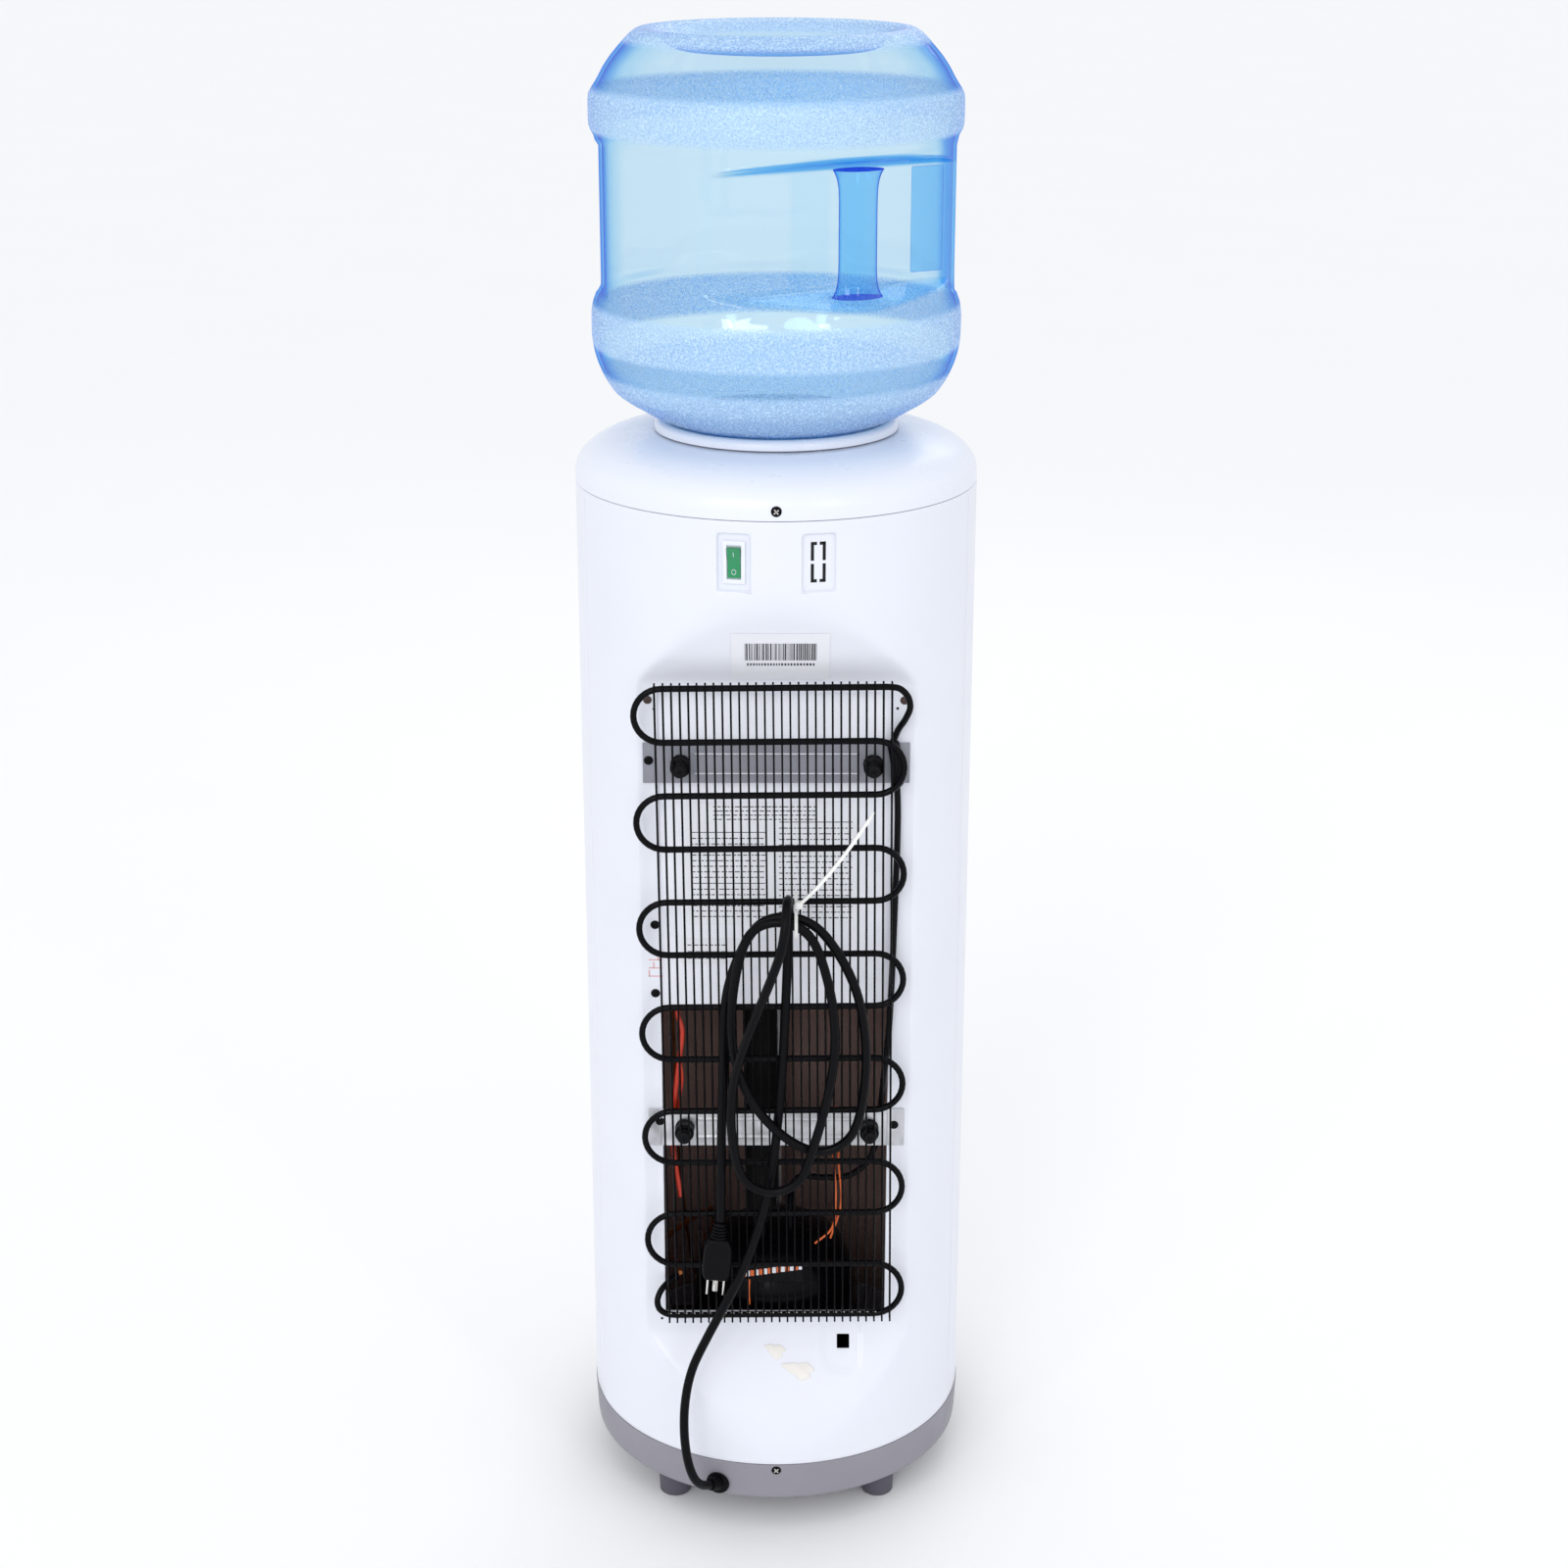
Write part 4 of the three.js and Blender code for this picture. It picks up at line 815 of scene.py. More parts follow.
def make_base():
    outside = [(0, 27), (140, 27), (144.8, 27.8), (146.8, 30), (147.3, 34), (148.6, 59.4), (145.4, 59.4)]
    inside = [(144.7, 66.8), (142.2, 66.8), (142.2, 59.6), (143.2, 38), (141.6, 33), (138, 31), (0, 31)]
    shape = Shape().add(lathe(rounded(outside + inside, 1.0, 3), 192))
    piece("base_moulding", shape, "grey_plastic", ["base_pan"])
    for node in ("foot_rear_left", "foot_rear_right", "foot_front_left", "foot_front_right"):
        low, high = (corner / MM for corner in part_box(node))
        centre = ((low.x + high.x) / 2, (low.y + high.y) / 2)
        profile = [(0, 0), (11.2, 0), (12.5, 1.3), (12.9, 12), (13.3, 22), (13.3, 26.7), (0, 26.7)]
        foot = Shape().add(lathe(rounded(profile, 0.9, 3), 48, centre))
        piece(f"{node}_moulding", foot, "dark_grey", [node], slot="grey_plastic")


def make_top():
    over = [(147.9, 812.3), (147.9, 819), (147.0, 824), (144.6, 828.6), (141, 832.6), (136.4, 836.2),
            (130.6, 839.4), (123.6, 842.2), (112, 844.8), (98, 846.7), (82, 847.9), (80.7, 847.2),
            (80.7, 845.2)]
    under = [(98, 843.9), (112, 842), (123, 839.4), (134, 834), (141, 827.4), (144.8, 819.6), (145, 815),
             (142.6, 815), (142.6, 805.1), (144.9, 805.1), (144.9, 812.3), (147.9, 812.3)]
    piece("top_moulding", Shape().add(lathe(over + under, 192)), "white_plastic", ["top_cover"], sharp=50)
    collar = [(89.6, 848.5), (89.6, 851.4), (89.0, 853.2), (87.4, 854.7), (85.2, 855.3), (82.4, 855.3),
              (80.4, 854.2), (79.5, 852.2), (78.4, 838.1), (79.9, 838.1), (80.1, 848.5), (89.6, 848.5)]
    piece("bottle_collar", Shape().add(lathe(collar, 128)), "white_plastic", ["collar_ring"], sharp=50)
    guard = [(6.1, 735.2), (6.1, 842.4), (9.3, 838.8), (9.4, 777), (10.4, 775.9), (34.6, 775.9),
             (36.1, 777.4), (36.1, 799.6), (73.4, 835.8), (73.5, 844.2), (75.5, 844.9), (77.4, 844.2),
             (77.4, 834.8), (38.4, 798.4), (38.3, 773.4), (9.6, 773.1), (9.4, 735.2), (6.1, 735.2)]
    piece("funnel_and_probe", Shape().add(lathe(guard, 96)), "white_plastic", ["spill_guard"], sharp=40)


def switch_frame():
    """The shallow rounded pocket that the switch, or its blanking plate, sits in."""
    w, h = POCKET
    outer = rectangle((-w - 1.6, w + 1.6), (-h - 1.6, h + 1.6), 2.4)
    inner = rectangle((-w + 0.9, w - 0.9), (-h + 0.9, h - 0.9), 1.8)
    outlines = [[(x, y, 1.6) for x, y in outer], [(x, y, 2.75) for x, y in rectangle((-w, w), (-h, h), 3.4)],
             [(x, y, 0.3) for x, y in inner]]
    count = len(outer)
    floor = tuple(range(2 * count, 3 * count))
    return [p for outline in outlines for p in outline], rings(3, count) + [floor]


def make_switches():
    for name, turn in (("switch", SWITCH_TURN), ("blank", -SWITCH_TURN)):
        place = upright(POCKET_FLOOR, turn, SWITCH_Z)
        made = piece(f"{name}_pocket", Shape().add(switch_frame(), 0, place), "white_enamel", sharp=25)
        made.modifiers.new("sheet", "SOLIDIFY").thickness = 0.5 * MM
        if name == "blank":
            # dark strokes of painted shade stand for the knock-out's cut lines, which are not cut
            slots = Shape()
            for side in (-1, 1):
                for end in (-1, 1):
                    leg = sorted((side * 3.05, side * 5.35))
                    arm = sorted((side * 0.95, side * 5.35))
                    slots.add(block(leg, sorted((end * 1.1, end * 14.5)), (0.1, 0.45), 0.1, 1), 0, place)
                    slots.add(block(arm, sorted((end * 12.2, end * 14.5)), (0.1, 0.45), 0.1, 1), 0, place)
            piece("knockout_slots", slots, "dark_hole", slot="black_plastic")
    bezel = Shape()
    place = upright(BEZEL_FLOOR, SWITCH_TURN, SWITCH_Z)
    for x in ((-8, -5.1), (5.1, 8)):
        bezel.add(block(x, (-15.3, 15.3), (-1.4, 1.9), 0.5, 3), 0, place)
    for z in ((-15.2, -12.1), (12.1, 15.2)):
        bezel.add(block((-6, 6), z, (-1.4, 1.85), 0.3, 3), 0, place)
    bezel.add(block((-6.2, 6.2), (-13.2, 13.2), (-16, -11.5), 0.4), 1, place)
    piece("switch_surround", bezel, ["white_plastic", "black_plastic"], ["switch_bezel"])
    refined("power_rocker", "green_rocker", 0.5)
    marks = Shape()
    tilt = turned(-7, "X")
    face = turned(SWITCH_TURN) @ Matrix.Translation((0, 143.6, SWITCH_Z)) @ tilt @ upright(3.25)
    ring = [(1.5 * math.cos(a), -6.4 + 1.9 * math.sin(a), 0.75) for a in np.linspace(0, 2 * math.pi, 25)]
    marks.add(tube(ring, 0.2, 6), 0, face)
    marks.add(bar((0, 5.0, 0.55), (0, 8.2, 0.95), 0.22, 6), 0, face)
    piece("rocker_marks", marks, "white_plastic", body="power_rocker")


# ---------- bottle ----------

BOTTLE_LINE = [
    (0, 1118.5), (60, 1118.6), (70, 1119.4), (75, 1122), (82, 1128), (90, 1131.8), (97, 1132.2),
    (103, 1128.6), (110, 1121), (117, 1113), (122.6, 1105), (127, 1096.5), (130.4, 1091.5), (133.0, 1088),
    (133.4, 1084),
    (133.4, 1066), (132.9, 1063), (130.4, 1060.6), (129.2, 1057), (129.2, 1050), (129.2, 958), (130.2, 947),
    (133.0, 939.5), (133.8, 934), (133.8, 917), (132.6, 908), (130.2, 899), (125.6, 888), (118.6, 877.4),
    (110.4, 871.4), (101.6, 866.4), (92, 860.4), (80, 855.6), (66, 850), (52, 843), (40, 834), (31, 823),
    (27.6, 812), (27.4, 787),
]


def bottle_radius(theta, r, z):
    """Presses eight shallow panels and the grip's pocket into the round bottle."""
    panel = (theta + math.radians(17.5)) % (math.pi / 4) - math.pi / 8
    middle = np.clip((1056 - z) / 4, 0, 1) * np.clip((z - 946) / 4, 0, 1)
    faceted = soft_least(r, 126.2 / np.cos(panel), 3.0)
    r = r + (faceted - r) * middle
    grip = math.radians(90 + GRIP_TURN)
    facing = np.cos(theta - grip)
    back = GRIP_BACK + 4.2 * (soft_positive(z - GRIP_Z[1], 2.2) + soft_positive(GRIP_Z[0] - z, 2.2))
    plane = back / np.maximum(facing, 0.05)
    near = (z > GRIP_Z[0] - 22) & (z < GRIP_Z[1] + 22)
    return np.where(near, soft_least(plane, r, 9.0), r)


def make_bottle():
    line = []
    for (r0, z0), (r1, z1) in zip(BOTTLE_LINE, BOTTLE_LINE[1:]):
        step = 1.3 if 940 < (z0 + z1) / 2 < 1060 else 2.6
        count = max(1, round(math.dist((r0, z0), (r1, z1)) / step))
        line += [(r0 + (r1 - r0) * k / count, z0 + (z1 - z0) * k / count) for k in range(count)]
    line.append(BOTTLE_LINE[-1])
    smooth = np.array(line[1:])
    for _ in range(2):
        smooth[1:-1] = (smooth[:-2] + 2 * smooth[1:-1] + smooth[2:]) / 4
    columns = 288
    theta = np.linspace(0, 2 * math.pi, columns, endpoint=False)
    t, r = np.meshgrid(theta, smooth[:, 0], indexing="ij")
    _, z = np.meshgrid(theta, smooth[:, 1], indexing="ij")
    r = bottle_radius(t, r, z)
    points = np.stack([r * np.cos(t), r * np.sin(t), z], axis=-1).reshape(-1, 3).tolist()
    rows = len(smooth)
    faces = []
    for i in range(columns):
        n = (i + 1) % columns
        faces += [(i * rows + k, n * rows + k, n * rows + k + 1, i * rows + k + 1) for k in range(rows - 1)]
    top = len(points)
    points.append((0, 0, BOTTLE_LINE[0][1]))
    faces += [(top, ((i + 1) % columns) * rows, i * rows) for i in range(columns)]
    made = piece("water_bottle", Shape().add((points, faces)), "bottle_plastic", ["bottle"],
                 body="bottle", sharp=80)
    outwards(made)
    wall = made.modifiers.new("wall", "SOLIDIFY")
    wall.thickness = 2.4 * MM
    wall.offset = -1
    make_grip()
    cap = [(11, 783.2), (29.8, 783.2), (30.9, 784.4), (30.9, 803), (30.2, 803.9), (28, 803.9), (27.9, 785.8),
           (11, 785.8), (11, 783.2)]
    shape = Shape().add(lathe(cap, 72))
    for k in range(36):
        at = Matrix.Rotation(2 * math.pi * k / 36, 4, "Z")
        shape.add(block((30.2, 31), (-0.5, 0.5), (785.4, 802.4), 0.25, 1), 0, at)
    piece("neck_cap", shape, "blue_cap", ["bottle_cap"], body="bottle")


def make_grip():
    """The column that a hand closes round, flared into the bottle at both ends."""
    low, high = GRIP_Z[0] - 3.2, GRIP_Z[1] + 3.2
    middle = (low + high) / 2
    rows, sides = 40, 48
    points = []
    for i in range(rows + 1):
        z = low + (high - low) * i / rows
        flare = (abs(z - middle) / (high - middle)) ** 7 * 4.6
        for k in range(sides):
            angle = 2 * math.pi * k / sides
            points.append(((14.2 + flare) * math.cos(angle), (9.6 + flare * 0.8) * math.sin(angle), z))
    place = turned(GRIP_TURN) @ Matrix.Translation((0, 115, 0))
    piece("grip_column", Shape().add((points, capped(rows + 1, sides)), 0, place), "grip_plastic",
          body="bottle", slot="bottle_plastic", sharp=80)
    end = Shape().add(block((-91, -65), (77.2, 80.2), (966, 1040), 1.4, 4), 0, turned(GRIP_TURN))
    piece("grip_end_wall", end, "grip_plastic", body="bottle", slot="bottle_plastic", sharp=80)


# ---------- condenser ----------

def row_height(row):
    return 685.2 - 40.24 * row - 0.159 * row * row


MIDDLE = (row_height(0) + row_height(ROWS - 1)) / 2


def skewed(u, w, forward):
    right = u * math.cos(SKEW) - (w - MIDDLE) * math.sin(SKEW)
    up = MIDDLE + u * math.sin(SKEW) + (w - MIDDLE) * math.cos(SKEW)
    return Vector((-right, COIL_Y + forward, up))


def condenser_path():
    """The serpentine tube, as points of (right as seen from behind, up, forward)."""
    inlet = through([(86, 640, -12), (89.5, 649, -10.5), (95, 659.5, -6), (98, 669, -2.5), (96, 678, -0.6),
                     (90, 684, 0), (82, row_height(0), 0)], 2)
    line = [tuple(p) for p in inlet]
    right, left = 94, -100
    for row in range(ROWS):
        leftward = row % 2 == 0
        side = -1 if leftward else 1
        above = (row_height(max(row - 1, 0)) - row_height(max(row, 1))) / 2
        below = (row_height(row) - row_height(row + 1)) / 2
        start = right - 12 if row == 0 else (right - above if leftward else left + above)
        end = left + below if leftward else right - below
        if row:
            line.append((start, row_height(row), 0))
        if row == ROWS - 1:
            break
        line.append((end, row_height(row), 0))
        for k in range(1, 16):
            turn = math.pi * k / 16
            up = row_height(row) - below + below * math.cos(turn)
            line.append((end + side * below * math.sin(turn), up, 0))
    last = row_height(ROWS - 1)
    outlet = through([(-80, last, 0), (-87, last + 1.2, 0), (-92.6, last + 5.6, 0), (-94, last + 12, -1),
                      (-91.5, last + 18.4, -4.6), (-86, last + 22.4, -11), (-79, last + 24, -20)], 2)
    return line + [tuple(p) for p in outlet]


def make_condenser():
    shape = Shape()
    shape.add(tube([skewed(*p) for p in condenser_path()], TUBE_R, 14))
    top, bottom = row_height(0) + 3.4, row_height(ROWS - 1) - 5.2
    across = [WIRE_X[0] + WIRE_X[1] * k / (WIRES - 1) for k in range(WIRES)]
    for u in across:
        for side in (-1, 1):
            forward = side * (TUBE_R + WIRE_R - 0.25)
            shape.add(bar(skewed(u, top, forward), skewed(u, bottom, forward), WIRE_R, 8))
    piece("condenser_grid", shape, "black_enamel", ["condenser"], sharp=50)
    welds = Shape()
    last = row_height(ROWS - 1)
    for u in across:
        welds.add(block((-1.5, 1.5), (-0.35, 0.35), (-0.35, 0.35), 0.2, 1), 0,
                  Matrix.Translation(skewed(u + 0.4, last + TUBE_R - 0.1, TUBE_R - 0.9)))
    piece("weld_glints", welds, "bright_metal", slot="black_enamel")


def make_bracket(name, node, z, material, tabs):
    """A pressed strip across the recess with two rolled ridges and folded tabs; a light strip along each
    ridge's top is a painted highlight.
    """
    shape = Shape()
    front = FLAT_Y + 0.35
    shape.add(block((-96.8, 96.8), (front, front + 1.3), z, 0.35))
    middle = (z[0] + z[1]) / 2
    for at in (middle - 7.5, middle + 7.5):
        ridge = [(-2.1, 0), (-1.1, 1.2), (-0.4, 1.65), (0.4, 1.65), (1.1, 1.2), (2.1, 0)]
        sections = [(-61, 0.3), (-58, 1), (58, 1), (61, 0.3)]
        points = [(x, front + 1.25 + h * k, at + t) for x, k in sections for t, h in ridge]
        faces = [(i * 6 + j, i * 6 + j + 1, i * 6 + j + 7, i * 6 + j + 6) for i in range(3) for j in range(5)]
        faces += [tuple(range(6)), tuple(range(18, 24))]
        faces += [(i * 6, (i + 1) * 6, (i + 1) * 6 + 5, i * 6 + 5) for i in range(3)]
        shape.add((points, faces))
        # a thin light strip on the ridge's top: painted highlight
        shape.add(block((-59, 59), (front + 2.85, front + 3.0), (at - 0.35, at + 0.35), 0.07, 1), 1)
    for x in tabs:
        shape.add(block((x - 0.5, x + 0.5), (front + 1.0, front + 2.2), (z[0] + 0.8, z[1] - 0.8), 0.3))
    piece(name, shape, [material, "painted_ridge_highlight"], [node])


def make_standoffs():
    for level, z in (("upper", 623), ("lower", 331.5)):
        for side, x in (("left", 69.5), ("right", -70.3)):
            node = f"standoff_{level}_{side}"
            profile = [(0, 0.3), (7.3, 0.3), (7.4, 1.6), (6.7, 2.2), (6.6, 8.4), (7.3, 9.0), (7.3, 10.8),
                       (5.4, 11.2), (5.3, 17.6), (4.6, 19.2), (3.6, 19.7), (0, 19.8)]
            stand = facing_out(x, 109.9, z)
            shape = Shape().add(lathe(rounded(profile, 0.5, 3), 40), 0, stand)
            for angle in (25, 115):
                cross = block((-2.4, 2.4), (-0.4, 0.4), (19.5, 19.95), 0.1, 1)
                shape.add(cross, 1, stand @ turned(angle))
            piece(f"{node}_grommet", shape, ["black_plastic", "black_enamel"], [node])


def make_fasteners():
    front = FLAT_Y + 1.6
    spots = [("bracket_screw_a", 92.6, 625.5, front), ("bracket_screw_b", 88.2, 336.5, front),
             ("bracket_screw_c", -89.2, 333.5, front), ("flange_screw_a", 89.8, 496.5, FLAT_Y),
             ("flange_screw_b", 90.2, 441.5, FLAT_Y)]
    for name, x, z, y in spots:
        piece(name, phillips(x, z, y, 3.5), ["black_enamel", "black_plastic"])
    for name, x, z in (("brown_plug_a", 92.8, 671), ("brown_plug_b", -92.3, 670.5)):
        dome = [(0, 1.5), (1.6, 1.3), (2.8, 0.7), (3.2, 0), (0, 0)]
        stand = facing_out(x, FLAT_Y, z)
        piece(name, Shape().add(lathe(dome, 24), 0, stand), "brown_plug", slot="black_plastic")
    # dark discs of painted shade stand for the pilot holes, which are not cut
    holes = Shape()
    for x, z in ((88.2, 664), (-87.4, 664.5), (89, 166)):
        stand = facing_out(x, FLAT_Y - 0.15, z)
        holes.add(lathe([(0, 0.2), (1.1, 0.2), (1.1, 0), (0, 0)], 14), 0, stand)
    piece("pilot_holes", holes, "dark_hole", slot="black_plastic")
    fixings = [("cover_fixing", 819, 147.7, "cover_screw"), ("base_fixing", 55, 148.2, "base_screw")]
    for name, z, y, node in fixings:
        piece(name, phillips(0, z, y, 3.9, 1.2, 40), ["black_enamel", "bright_metal"], [node])


# ---------- labels ----------

def printed_lines(shape, x, z, rows, place, seed):
    """Rows of short strokes that only suggest small print."""
    draw = random.Random(seed)
    for row in range(rows):
        height = z[1] - (z[1] - z[0]) * (row + 0.5) / rows
        at = x[0]
        while at < x[1] - 2:
            run = draw.uniform(1.2, 4.6)
            end = min(at + run, x[1])
            shape.add(block((at, end), (height - 0.38, height + 0.38), (0.0, 0.12), 0), 0, place)
            at = end + draw.uniform(0.6, 1.3)


def make_labels():
    paper = Shape()
    place = upright(PLATE_Y + 0.05)
    paper.add(slab(rectangle((-67, 62), (495, 592), 4), 0.25, 0.1, 1), 0, place)
    paper.add(slab(rectangle((-70.9, -22), (463.6, 485), 1.5), 0.25, 0.1, 1), 0, place)
    piece("rating_labels", paper, "label_paper", slot="white_plastic")
    ink = Shape()
    front = upright(PLATE_Y + 0.31)
    prints = [((-46, 30), (577, 590), 4, 3), ((-62, -8), (531, 566), 8, 5), ((2, 56), (499, 574), 17, 7),
              ((-62, -8), (500, 526), 6, 9), ((-66, -36), (466, 482), 3, 11)]
    for x, z, rows, seed in prints:
        printed_lines(ink, x, z, rows, front, seed)
    for x, z in (((-62, -8), 568.5), ((-62, -8), 528.5), ((2, 56), 576.5)):
        ink.add(block(x, (z - 0.3, z + 0.3), (0.0, 0.12), 0), 0, front)
    piece("label_print", ink, "print", slot="black_plastic")
    tilt = math.atan(SLOPE)
    foot = Matrix.Translation((0, FLAT_Y + 0.25, FLAT_Z[1])) @ Matrix.Rotation(-tilt, 4, "X") @ upright(0)
    sticker = Shape().add(slab(rectangle((-32, 38), (4.6, 51), 1), 0.2, 0.08, 1), 0, foot)
    piece("bar_sticker", sticker, "label_paper", slot="white_plastic")
    bars = Shape()
    draw = random.Random(21)
    at = -22.4
    while at < 28.6:
        width = draw.choice((0.4, 0.4, 0.8, 1.1))
        bars.add(block((at, at + width), (24, 41), (0.22, 0.32), 0), 0, foot)
        at += width + draw.choice((0.45, 0.5, 0.9))
    at = -21
    while at < 28:
        width = draw.uniform(0.9, 1.5)
        bars.add(block((at, at + width), (18.6, 21), (0.22, 0.3), 0), 0, foot)
        at += width + 0.9
    piece("sticker_bars", bars, "print", slot="black_plastic")
    stamp = Shape()
    flange = upright(FLAT_Y + 0.05)
    for k in range(4):
        z = 455 + 6.6 * k
        stamp.add(block((-95, -84.6), (z, z + 0.7), (0, 0.12), 0), 0, flange)
        stamp.add(block((-95 + 3.4 * (k % 3), -94.2 + 3.4 * (k % 3)), (z, z + 5.2), (0, 0.12), 0), 0, flange)
    piece("inspection_stamp", stamp, "red_print", slot="white_plastic")
    marks = Shape()
    low = Matrix.Translation((0, FLAT_Y + 0.1, FLAT_Z[0])) @ Matrix.Rotation(tilt, 4, "X") @ upright(0)
    for x, up, half, high in ((-0.5, -16.2, 7.0, 5.4), (18, -31, 11.0, 6.4)):
        outline = []
        for k in range(28):
            angle = 2 * math.pi * k / 28
            reach = 1 + 0.22 * math.sin(3 * angle + x) + 0.1 * math.sin(7 * angle)
            outline.append((x + half * reach * math.cos(angle), up + high * reach * math.sin(angle - 0.3)))
        marks.add(slab(outline, 0.9, 0.3), 0, low)
    piece("glue_residue", marks, "residue", slot="white_enamel")


# ---------- inside the cabinet ----------

def make_back_plate():
    shape = Shape().add(block((-94, 96), (PLATE_Y - 1, PLATE_Y), (430, 690), 0.2))
    piece("plate", shape, "back_plate_steel", ["back_plate"])


def make_compressor():
    x, y = 1, 32
    dome = [(0, 45), (52, 45), (58, 47.4), (62, 52), (64.4, 59), (65, 66), (65, 128), (67.3, 129.2),
            (67.3, 133.8), (65, 135), (64.8, 156), (63.4, 170), (60.4, 182), (55, 192), (47.4, 200.4),
            (38, 206), (27, 209.8), (14, 211.6), (0, 212)]
    shape = Shape().add(lathe(dome, 96, (x, y)))
    shape.add(slab(rectangle((-77, 77), (-44, 44), 9), 2.4, 0.4), 0, Matrix.Translation((x, y, 44.1)))
    shape.add(lathe([(0, 200), (5, 200), (5, 220.6), (4.2, 221.8), (0, 222)], 24, (x + 11, y + 22)))
    mount = [(3.4, 31.3), (8, 31.3), (8, 36), (6.2, 37.5), (8, 39), (8, 43.7), (3.4, 43.7), (3.4, 31.3)]
    for sx in (-1, 1):
        for sy in (-1, 1):
            shape.add(lathe(rounded(mount, 0.5, 2), 28, (x + sx * 67, y + sy * 36)))
    piece("compressor_shell", shape, "black_enamel", ["compressor"], sharp=45)
    strip = Shape()
    for k in range(14):
        a = 27 - 3.4 * k
        strip.add(block((a - 3.0, a), (100.2, 101.2), (198.2 + 0.5 * k, 203.2 + 0.5 * k), 0.3, 1), k % 2)
    strip.add(block((-21.5, 28), (99.4, 100.4), (194, 208), 0.4), 2)
    piece("terminal_strip", strip, ["orange_wire", "label_paper", "black_plastic"], slot="black_plastic")


def make_lines():
    bends = [(29, 54, 612), (26, 57, 580), (17, 61, 500), (12, 61, 400), (11, 58, 300), (12, 54, 238)]
    foam = through(bends, 6)
    swell = [12.6 + 0.25 * math.sin(0.9 * i) for i in range(len(foam))]
    shape = Shape().add(tube(foam, swell, 28))
    shape.add(tube(through([(30, 50, 637.2), (29.5, 52, 625), (28.6, 54.6, 605)], 3), 4.8, 16))
    shape.add(lathe([(0, 222.6), (6.3, 222.6), (6.3, 241.6), (0, 241.6)], 24, (12, 54)))
    piece("suction_foam", shape, "black_foam", ["suction_line"])
    start = skewed(86, 637.6, -12)
    pipe = through([start, (-88, 113, 600), (-87, 113, 500), (-84, 113, 410), (-81, 112, 375),
                    (-79.5, 102, 346), (-77, 98, 318), (-70, 93, 294), (-55, 87, 279), (-36, 82, 275),
                    (-18, 73, 271), (-11.5, 61, 250), (-11, 56, 217)], 3)
    shape = Shape().add(tube(pipe, TUBE_R, 14))
    sleeve = through([skewed(86, 641, -12.2), (-87, 112.9, 625), (-88, 113, 607)], 2)
    shape.add(tube(sleeve, [3.0] + [4.6] * (len(sleeve) - 2) + [3.0], 18))
    piece("discharge_pipe", shape, "black_enamel", ["discharge_line"])


def make_wires():
    main = [(72, 96, 428), (74.5, 98, 421), (71, 99, 408), (74, 99, 380), (77, 98, 352), (80, 94, 318),
            (74, 88, 262)]
    branch = [(70.5, 95, 400), (73, 97, 386), (71.5, 96, 366), (75, 94, 340)]
    lead = Shape().add(tube(through(main, 3), 1.9, 12)).add(tube(through(branch, 3), 1.1, 10))
    piece("heater_lead", lead, "red_wire", slot="red_plastic")
    wires = [(0.9, [(-46, 70, 330), (-44, 84, 300), (-46, 90, 262), (-43, 92, 236), (-30, 94, 224)]),
             (0.8, [(-49, 68, 326), (-48, 84, 292), (-50, 90, 256), (-42, 93, 228)]),
             (0.9, [(21, 100, 196), (21.5, 101, 186), (21, 100, 174)])]
    thin = Shape()
    for radius, bends in wires:
        thin.add(tube(through(bends, 3), radius, 8))
    piece("sensor_wires", thin, "orange_wire", slot="red_plastic")


INNER_PARTS = {
    "cold_tank": ("stainless", 0.8), "hot_tank": ("stainless", 0.8), "cold_insulation": ("foam", 1.5),
    "hot_insulation": ("foam", 1.5), "heater_band": ("stainless", 0.3),
    "hot_thermostat": ("black_plastic", 0.5), "cold_thermostat": ("black_plastic", 0.8),
    "relay_box": ("black_plastic", 1.0), "filter_drier": ("copper", 0.4),
    "drain_fitting": ("white_plastic", 0.5),
}
INNER_TUBES = {
    "evaporator_coil": "copper", "liquid_line": "copper", "capillary_tube": "copper",
    "cold_water_hose": "silicone", "hot_water_hose": "silicone", "hot_feed_hose": "silicone",
    "drain_hose": "silicone", "wire_harness": "black_rubber",
}


def dress_inner_parts():
    """Hidden parts keep their CAD shapes with rounded edges, and get their materials."""
    for node, (material, bevel) in INNER_PARTS.items():
        refined(node, material, bevel)
    for node, material in INNER_TUBES.items():
        target = frame["nodes"][node]
        target.data.materials.clear()
        target.data.materials.append(M[material])


# ---------- alcove and taps ----------

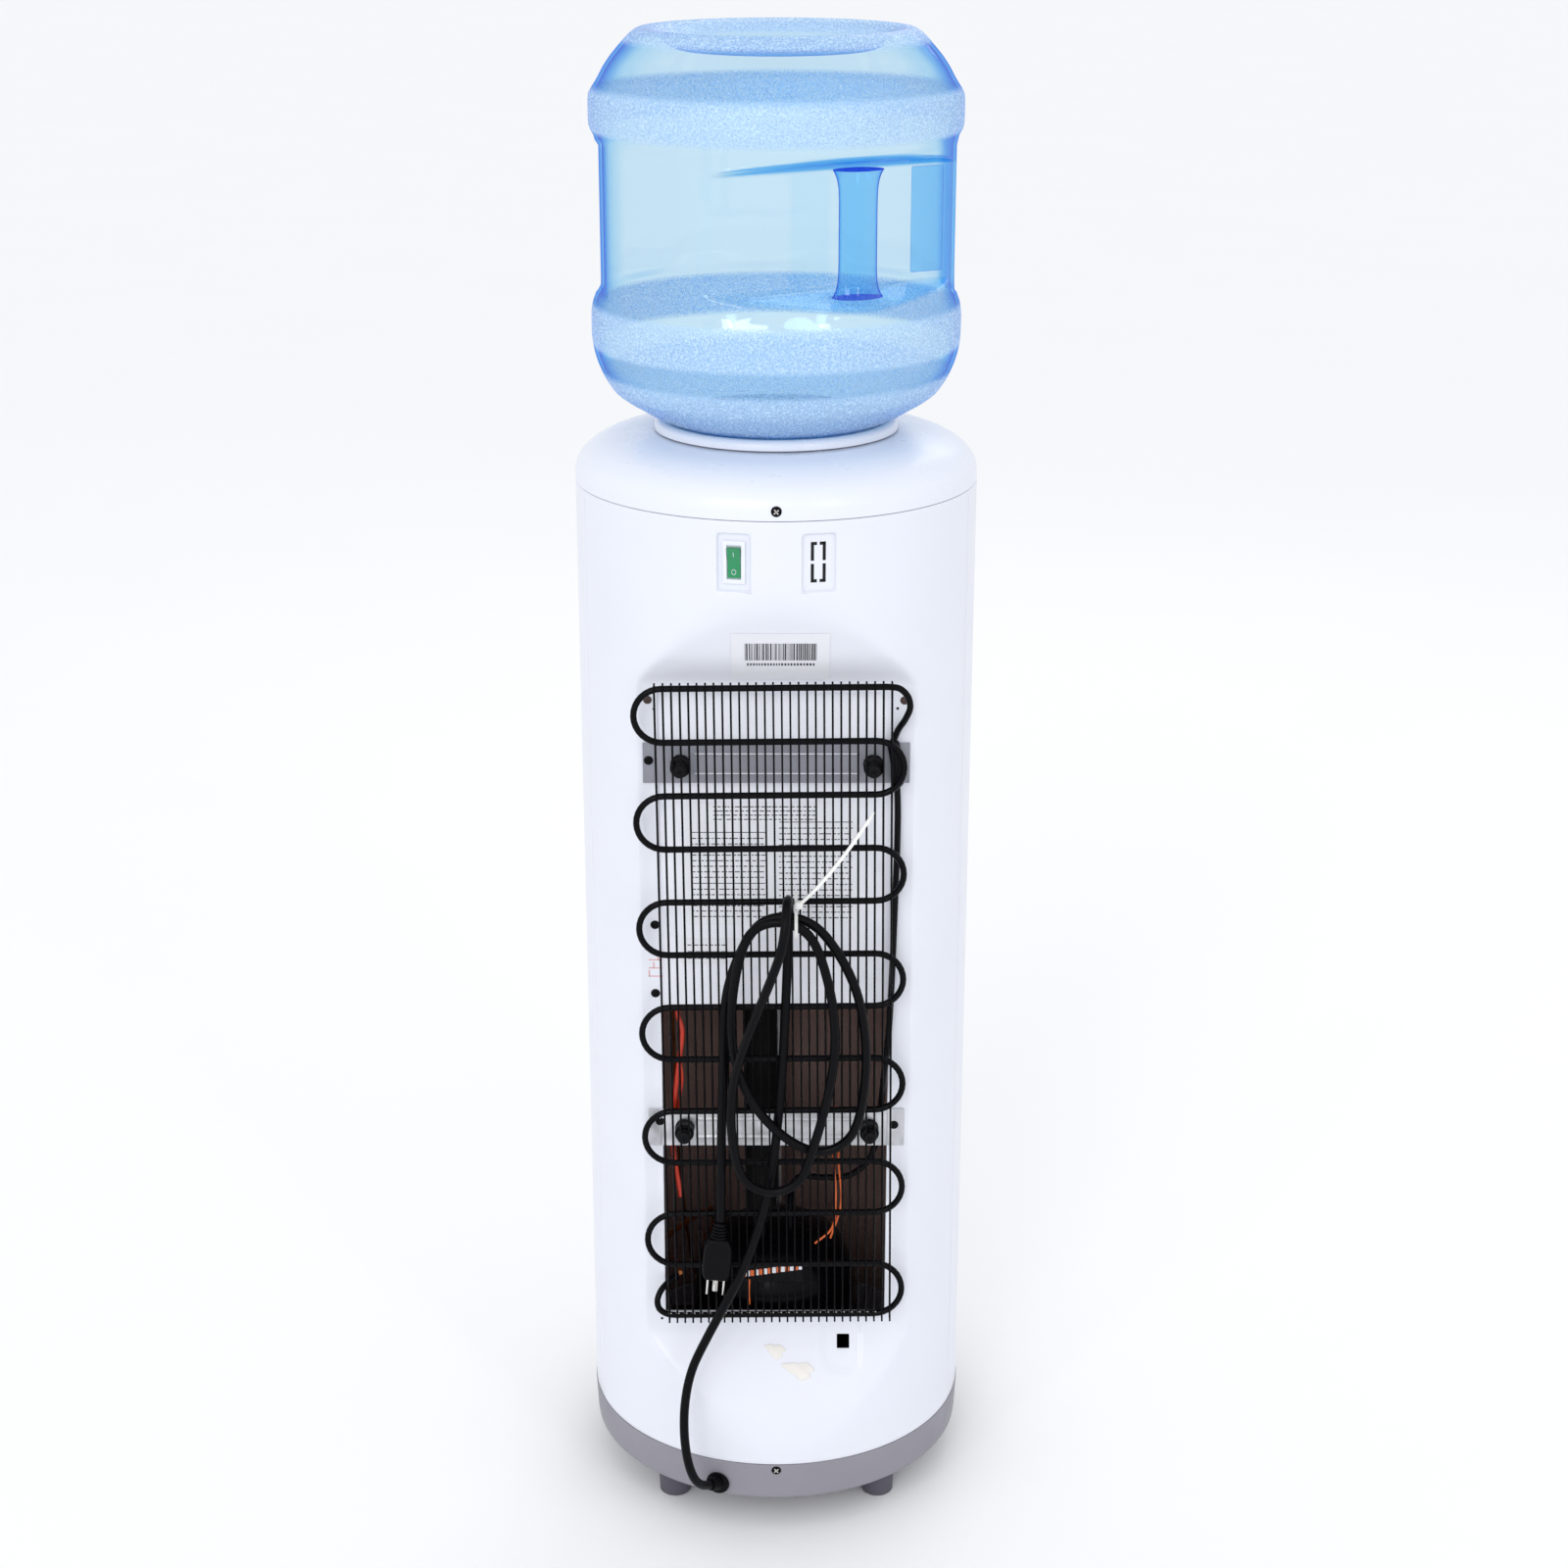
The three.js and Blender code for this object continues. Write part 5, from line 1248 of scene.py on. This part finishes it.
def make_tap(name, node, x):
    """A tap: a round body out of the alcove's back, a turned spout with its nozzle, and the lever's post."""
    shape = Shape()
    along = Matrix.Translation((x, 0, 714)) @ turned(90, "X")
    body = [(0, 71), (5.9, 71), (5.9, 78.6), (0, 78.6)]
    shape.add(lathe(body, 32), 0, along)
    front = [(0, 82.3), (12.8, 82.3), (13, 83), (13, 84), (12.2, 85), (10.6, 85.2), (9.9, 86.4), (9.9, 112.6),
             (9.2, 114.4), (7.6, 115), (0, 115)]
    shape.add(lathe(front, 48), 0, along)
    spout = [(4.4, 690.1), (6.2, 690.1), (6.5, 690.6), (7.0, 695), (7.7, 699), (10.4, 702.6), (11, 705),
             (11.4, 714), (11.4, 722.6), (10.6, 725.6), (8.8, 727.8), (0, 728), (0, 707), (4.4, 706),
             (4.4, 690.1)]
    shape.add(lathe(spout, 48, (x, -110)))
    shape.add(block((x - 3.9, x + 3.9), (-114.8, -102.2), (725, 743.3), 0.8, 3))
    piece(name, shape, "white_plastic", [node], sharp=40)


FRONT_PARTS = {
    "hot_lever": ("red_plastic", 0.9), "cold_lever": ("blue_plastic", 0.9),
    "hot_catch": ("white_plastic", 0.4), "alcove_liner": ("grey_plastic", 0.8),
    "drip_tray": ("grey_plastic", 0.7), "drip_grille": ("grey_plastic", 0.4),
}


def make_front():
    make_tap("hot_spout", "hot_tap", -32)
    make_tap("cold_spout", "cold_tap", 32)
    for node, (material, bevel) in FRONT_PARTS.items():
        refined(node, material, bevel)
    lights = [("power", -12, "green_lens"), ("heating", 0, "red_lens"), ("cooling", 12, "amber_lens")]
    for name, x, material in lights:
        face = -math.sqrt(BODY_R ** 2 - x * x)
        dome = [(0, 0.0), (1.6, 0.02), (2.5, 0.08), (2.9, 0.25), (3.0, 0.6), (3.0, 7.9), (0, 7.9)]
        stand = facing_out(x, face - 0.55, 790)
        piece(f"{name}_light", Shape().add(lathe(dome, 28), 0, stand), material, [f"{name}_lens"])


# ---------- floor ----------

def make_floor():
    bpy.ops.mesh.primitive_plane_add(size=60, location=(0, 0, 0))
    floor = bpy.context.object
    floor.name = "floor"
    floor.data.materials.append(M["floor"])


make_camera()
make_light()
M = make_materials()
make_cord()
make_rear_shell()
make_front_shell()
make_base()
make_top()
make_switches()
make_bottle()
make_condenser()
make_bracket("upper_strap", "upper_bracket", (608.2, 638.8), "bracket_paint", (88, -88))
make_bracket("lower_strap", "lower_bracket", (316.2, 346.8), "galvanised", (-84.6, 88))
make_standoffs()
make_fasteners()
make_labels()
make_back_plate()
make_compressor()
make_lines()
make_wires()
dress_inner_parts()
make_front()
make_floor()
